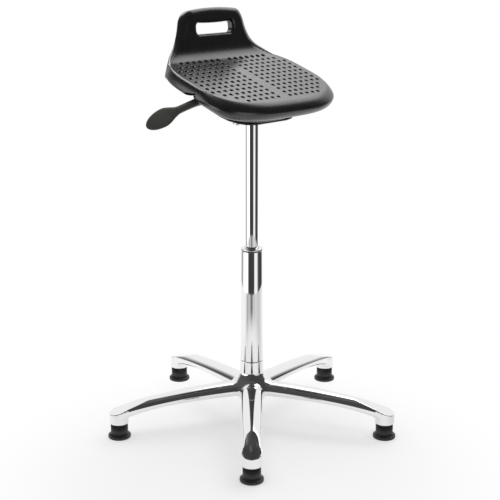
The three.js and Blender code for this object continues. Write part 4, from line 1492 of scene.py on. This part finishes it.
@dataclass(frozen=True)
class Lamp:
    """Soft lamp that looks at a point, in metres and watts."""

    name: str
    place: tuple[float, float, float]
    aim: tuple[float, float, float]
    size: tuple[float, float]
    power: float
    mirrored: bool = True
    only: tuple[str, ...] = ()

    def hang(self) -> None:
        """Adds the lamp. It lights every piece, or the named ones only, and may stay out of reflections."""
        data = bpy.data.lights.new(self.name, "AREA")
        data.shape, data.energy = "RECTANGLE", self.power
        data.size, data.size_y = self.size
        holder = bpy.data.objects.new(self.name, data)
        holder.visible_glossy = self.mirrored
        if self.only:
            lit = bpy.data.collections.new(self.name + "_lights")
            for piece in self.only:
                lit.objects.link(bpy.data.objects[piece])
            holder.light_linking.receiver_collection = lit
        holder.location = self.place
        aimed = Vector(self.aim) - Vector(self.place)
        holder.rotation_euler = aimed.to_track_quat("-Z", "Y").to_euler()
        bpy.context.scene.collection.objects.link(holder)


@dataclass
class Studio:
    """White floor and surround, soft lamps and the camera. Lengths here are in metres."""

    heading: float = math.radians(45.0974)
    pitch: float = math.radians(15.41)
    camera_offset: tuple[float, float, float] = (-1.747, -1.747, 1.085)
    lens: float = 83.448
    sensor: float = 36.0
    lamps: tuple[Lamp, ...] = (
        Lamp("overhead_lamp", (-0.2, 0.1, 2.6), (0, 0, 0.6), (1.2, 1.2), 12.0, mirrored=False),
        Lamp("seat_lamp", (-0.25, 0.95, 2.6), (0, 0, 0.78), (1.8, 1.3), 33.0, only=("seat_moulding",)),
        Lamp("back_lamp", (1.98, 0.28, 2.85), (0, 0, 0.78), (3.0, 1.3), 19.0),
    )
    floor_radius: float = 1.2
    floor_sides: int = 128
    floor_roughness: float = 0.9
    shadow_middle: tuple[float, float, float] = (-0.2, -0.2, 0.0)
    shadow_start: float = 0.22
    shadow_end: float = 0.62
    floor_glow: float = 0.34
    floor_colour: float = 0.74
    surround: float = 0.55
    overhead: float = 0.1
    horizon: tuple[float, float] = (-0.02, 0.08)
    ceiling: tuple[float, float] = (0.88, 0.96)
    low_room: tuple[tuple[float, float], ...] = (
        (0.0, 0.05), (0.064, 0.05), (0.08, 1.0), (0.147, 1.0), (0.2, 0.05), (0.35, 0.06), (0.38, 1.0),
        (0.58, 1.0), (0.6, 0.45), (0.71, 0.45), (0.74, 1.8), (0.87, 1.8), (0.9, 0.05), (1.0, 0.05),
    )
    high_room: tuple[tuple[float, float], ...] = (
        (0.0, 0.05), (0.3, 0.06), (0.36, 0.95), (0.6, 0.95), (0.68, 0.1), (1.0, 0.05),
    )
    # Grey tones of the floor's painted room by share of a turn, seen only by glossy rays as painted
    # reflections in the metal.
    floor_painted_room: tuple[tuple[float, float], ...] = (
        (0.0, 0.2), (0.02, 0.3), (0.04, 0.75), (0.065, 0.58), (0.11, 0.76), (0.19, 0.62), (0.3, 0.8),
        (0.36, 1.0), (0.78, 1.0), (0.83, 0.87), (0.865, 0.4), (0.9, 0.55), (0.93, 0.64), (0.965, 0.32),
        (0.985, 0.2), (1.0, 0.2),
    )

    def camera(self) -> None:
        """Places the camera where the photograph was taken from."""
        data = bpy.data.cameras.new("camera")
        data.lens, data.sensor_width = self.lens, self.sensor
        holder = bpy.data.objects.new("camera", data)
        column = np.array([COLUMN_X * MM, COLUMN_Y * MM, 0])
        holder.location = column + np.array(self.camera_offset)
        holder.rotation_euler = (math.pi / 2 - self.pitch, 0, self.heading - math.pi / 2)
        bpy.context.scene.collection.objects.link(holder)
        bpy.context.scene.camera = holder

    def turn_share(self, bench: Bench, place: bpy.types.NodeSocket) -> tuple[Shade, Shade]:
        """Share of a full turn of a direction, half for straight ahead of the camera, and its height.

        Args:
            bench: nodes of the material.
            place: link that gives the direction.

        Returns:
            The share and the height.
        """
        parts = bench.add("ShaderNodeSeparateXYZ", {}, {0: place})
        x, y, z = (Shade(bench, output) for output in parts.outputs)
        cos, sin = math.cos(self.heading), math.sin(self.heading)
        angle = bench.add("ShaderNodeMath", {"operation": "ARCTAN2"}, {
            0: y * cos - x * sin,
            1: x * cos + y * sin,
        })
        return Shade(bench, angle.outputs[0]) / (2 * math.pi) + 0.5, z

    @staticmethod
    def ramp(bench: Bench, share: Shade, stops: tuple) -> bpy.types.NodeSocket:
        """Grey tones over a share."""
        return bench.add("ShaderNodeValToRGB", {"stops": stops}, {"Fac": share}).outputs["Color"]

    @staticmethod
    def between(bench: Bench, value: Any, start: float, end: float) -> bpy.types.NodeSocket:
        """Smooth share of the way of a value from start to end."""
        return bench.add("ShaderNodeMapRange", {"interpolation_type": "SMOOTHSTEP"}, {
            "Value": value, "From Min": start, "From Max": end,
        }).outputs[0]

    def floor(self) -> None:
        """Lays a round matt sheet that takes the shadows in its middle and glows at its rim: plain white to
        the camera, and a painted room of light and dark bands to glossy rays, which the metal shows as
        painted reflections.
        """
        mesh = bpy.data.meshes.new("floor")
        turn = np.linspace(0, 2 * math.pi, self.floor_sides, endpoint=False)
        rim = self.floor_radius * np.stack([np.cos(turn), np.sin(turn), 0 * turn], axis=1)
        mesh.from_pydata(rim.tolist(), [], [list(range(len(rim)))])
        piece = bpy.data.objects.new("floor", mesh)
        bpy.context.scene.collection.objects.link(piece)
        made = bpy.data.materials.new("studio_floor")
        made.use_nodes = True
        bench = Bench(made.node_tree)
        place = bench.add("ShaderNodeTexCoord", {}, {}).outputs["Object"]
        shifted = bench.add("ShaderNodeVectorMath", {"operation": "SUBTRACT"}, {
            0: place, 1: self.shadow_middle,
        })
        distance = bench.add("ShaderNodeVectorMath", {"operation": "LENGTH"}, {0: shifted.outputs[0]})
        middle = self.between(bench, distance.outputs["Value"], self.shadow_start, self.shadow_end)
        matt = bench.add("ShaderNodeBsdfPrincipled", {}, {
            "Base Color": grey(self.floor_colour), "Roughness": self.floor_roughness,
            "Specular IOR Level": 0.0, "Emission Color": WHITE, "Emission Strength": self.floor_glow,
        })
        share, _ = self.turn_share(bench, place)
        path = bench.add("ShaderNodeLightPath", {}, {})
        # Painted room: light and dark bands by direction that only glossy rays see, painted reflections in
        # the polished metal.
        room = self.ramp(bench, share, self.floor_painted_room)
        tone = bench.blend(path.outputs["Is Glossy Ray"], WHITE, room)
        white = bench.add("ShaderNodeEmission", {}, {"Color": tone, "Strength": 1.0})
        mixed = bench.add("ShaderNodeMixShader", {}, {
            0: middle, 1: matt.outputs["BSDF"], 2: white.outputs[0],
        })
        bench.surface(mixed.outputs[0])
        mesh.materials.append(made)

    def world(self) -> None:
        """White to the camera, a plain level to matt surfaces, and a room with dark gaps to glossy ones."""
        world = bpy.data.worlds.new("studio")
        bpy.context.scene.world = world
        world.use_nodes = True
        bench = Bench(world.node_tree)
        direction = bench.add("ShaderNodeTexCoord", {}, {}).outputs["Generated"]
        share, z = self.turn_share(bench, direction)
        low, high = (self.ramp(bench, share, stops) for stops in (self.low_room, self.high_room))
        walls = bench.blend(self.between(bench, z, *self.horizon), low, high)
        glossy = bench.blend(self.between(bench, z, *self.ceiling), walls, grey(self.overhead))
        path = bench.add("ShaderNodeLightPath", {}, {})
        lit = bench.blend(path.outputs["Is Glossy Ray"], grey(self.surround), glossy)
        seen = bench.blend(path.outputs["Is Camera Ray"], lit, WHITE)
        background = bench.add("ShaderNodeBackground", {}, {"Color": seen, "Strength": 1.0})
        bench.add("ShaderNodeOutputWorld", {}, {"Surface": background.outputs[0]})

    def build(self) -> None:
        """Sets up the camera, floor, world and lamps."""
        self.camera()
        self.floor()
        self.world()
        for lamp in self.lamps:
            lamp.hang()


def main() -> None:
    """Builds and dresses the stool, lights it and reports each piece."""
    logging.basicConfig(level=logging.INFO, format="%(name)s %(message)s")
    bpy.context.scene.view_settings.view_transform = "Standard"
    CadPieces().dress()
    for part in (SeatMoulding(), LeverHandle(), GasLift(), Column(), StarBase(), Glides()):
        part.dress(part.build())
    Studio().build()


if __name__ == "__main__":
    main()
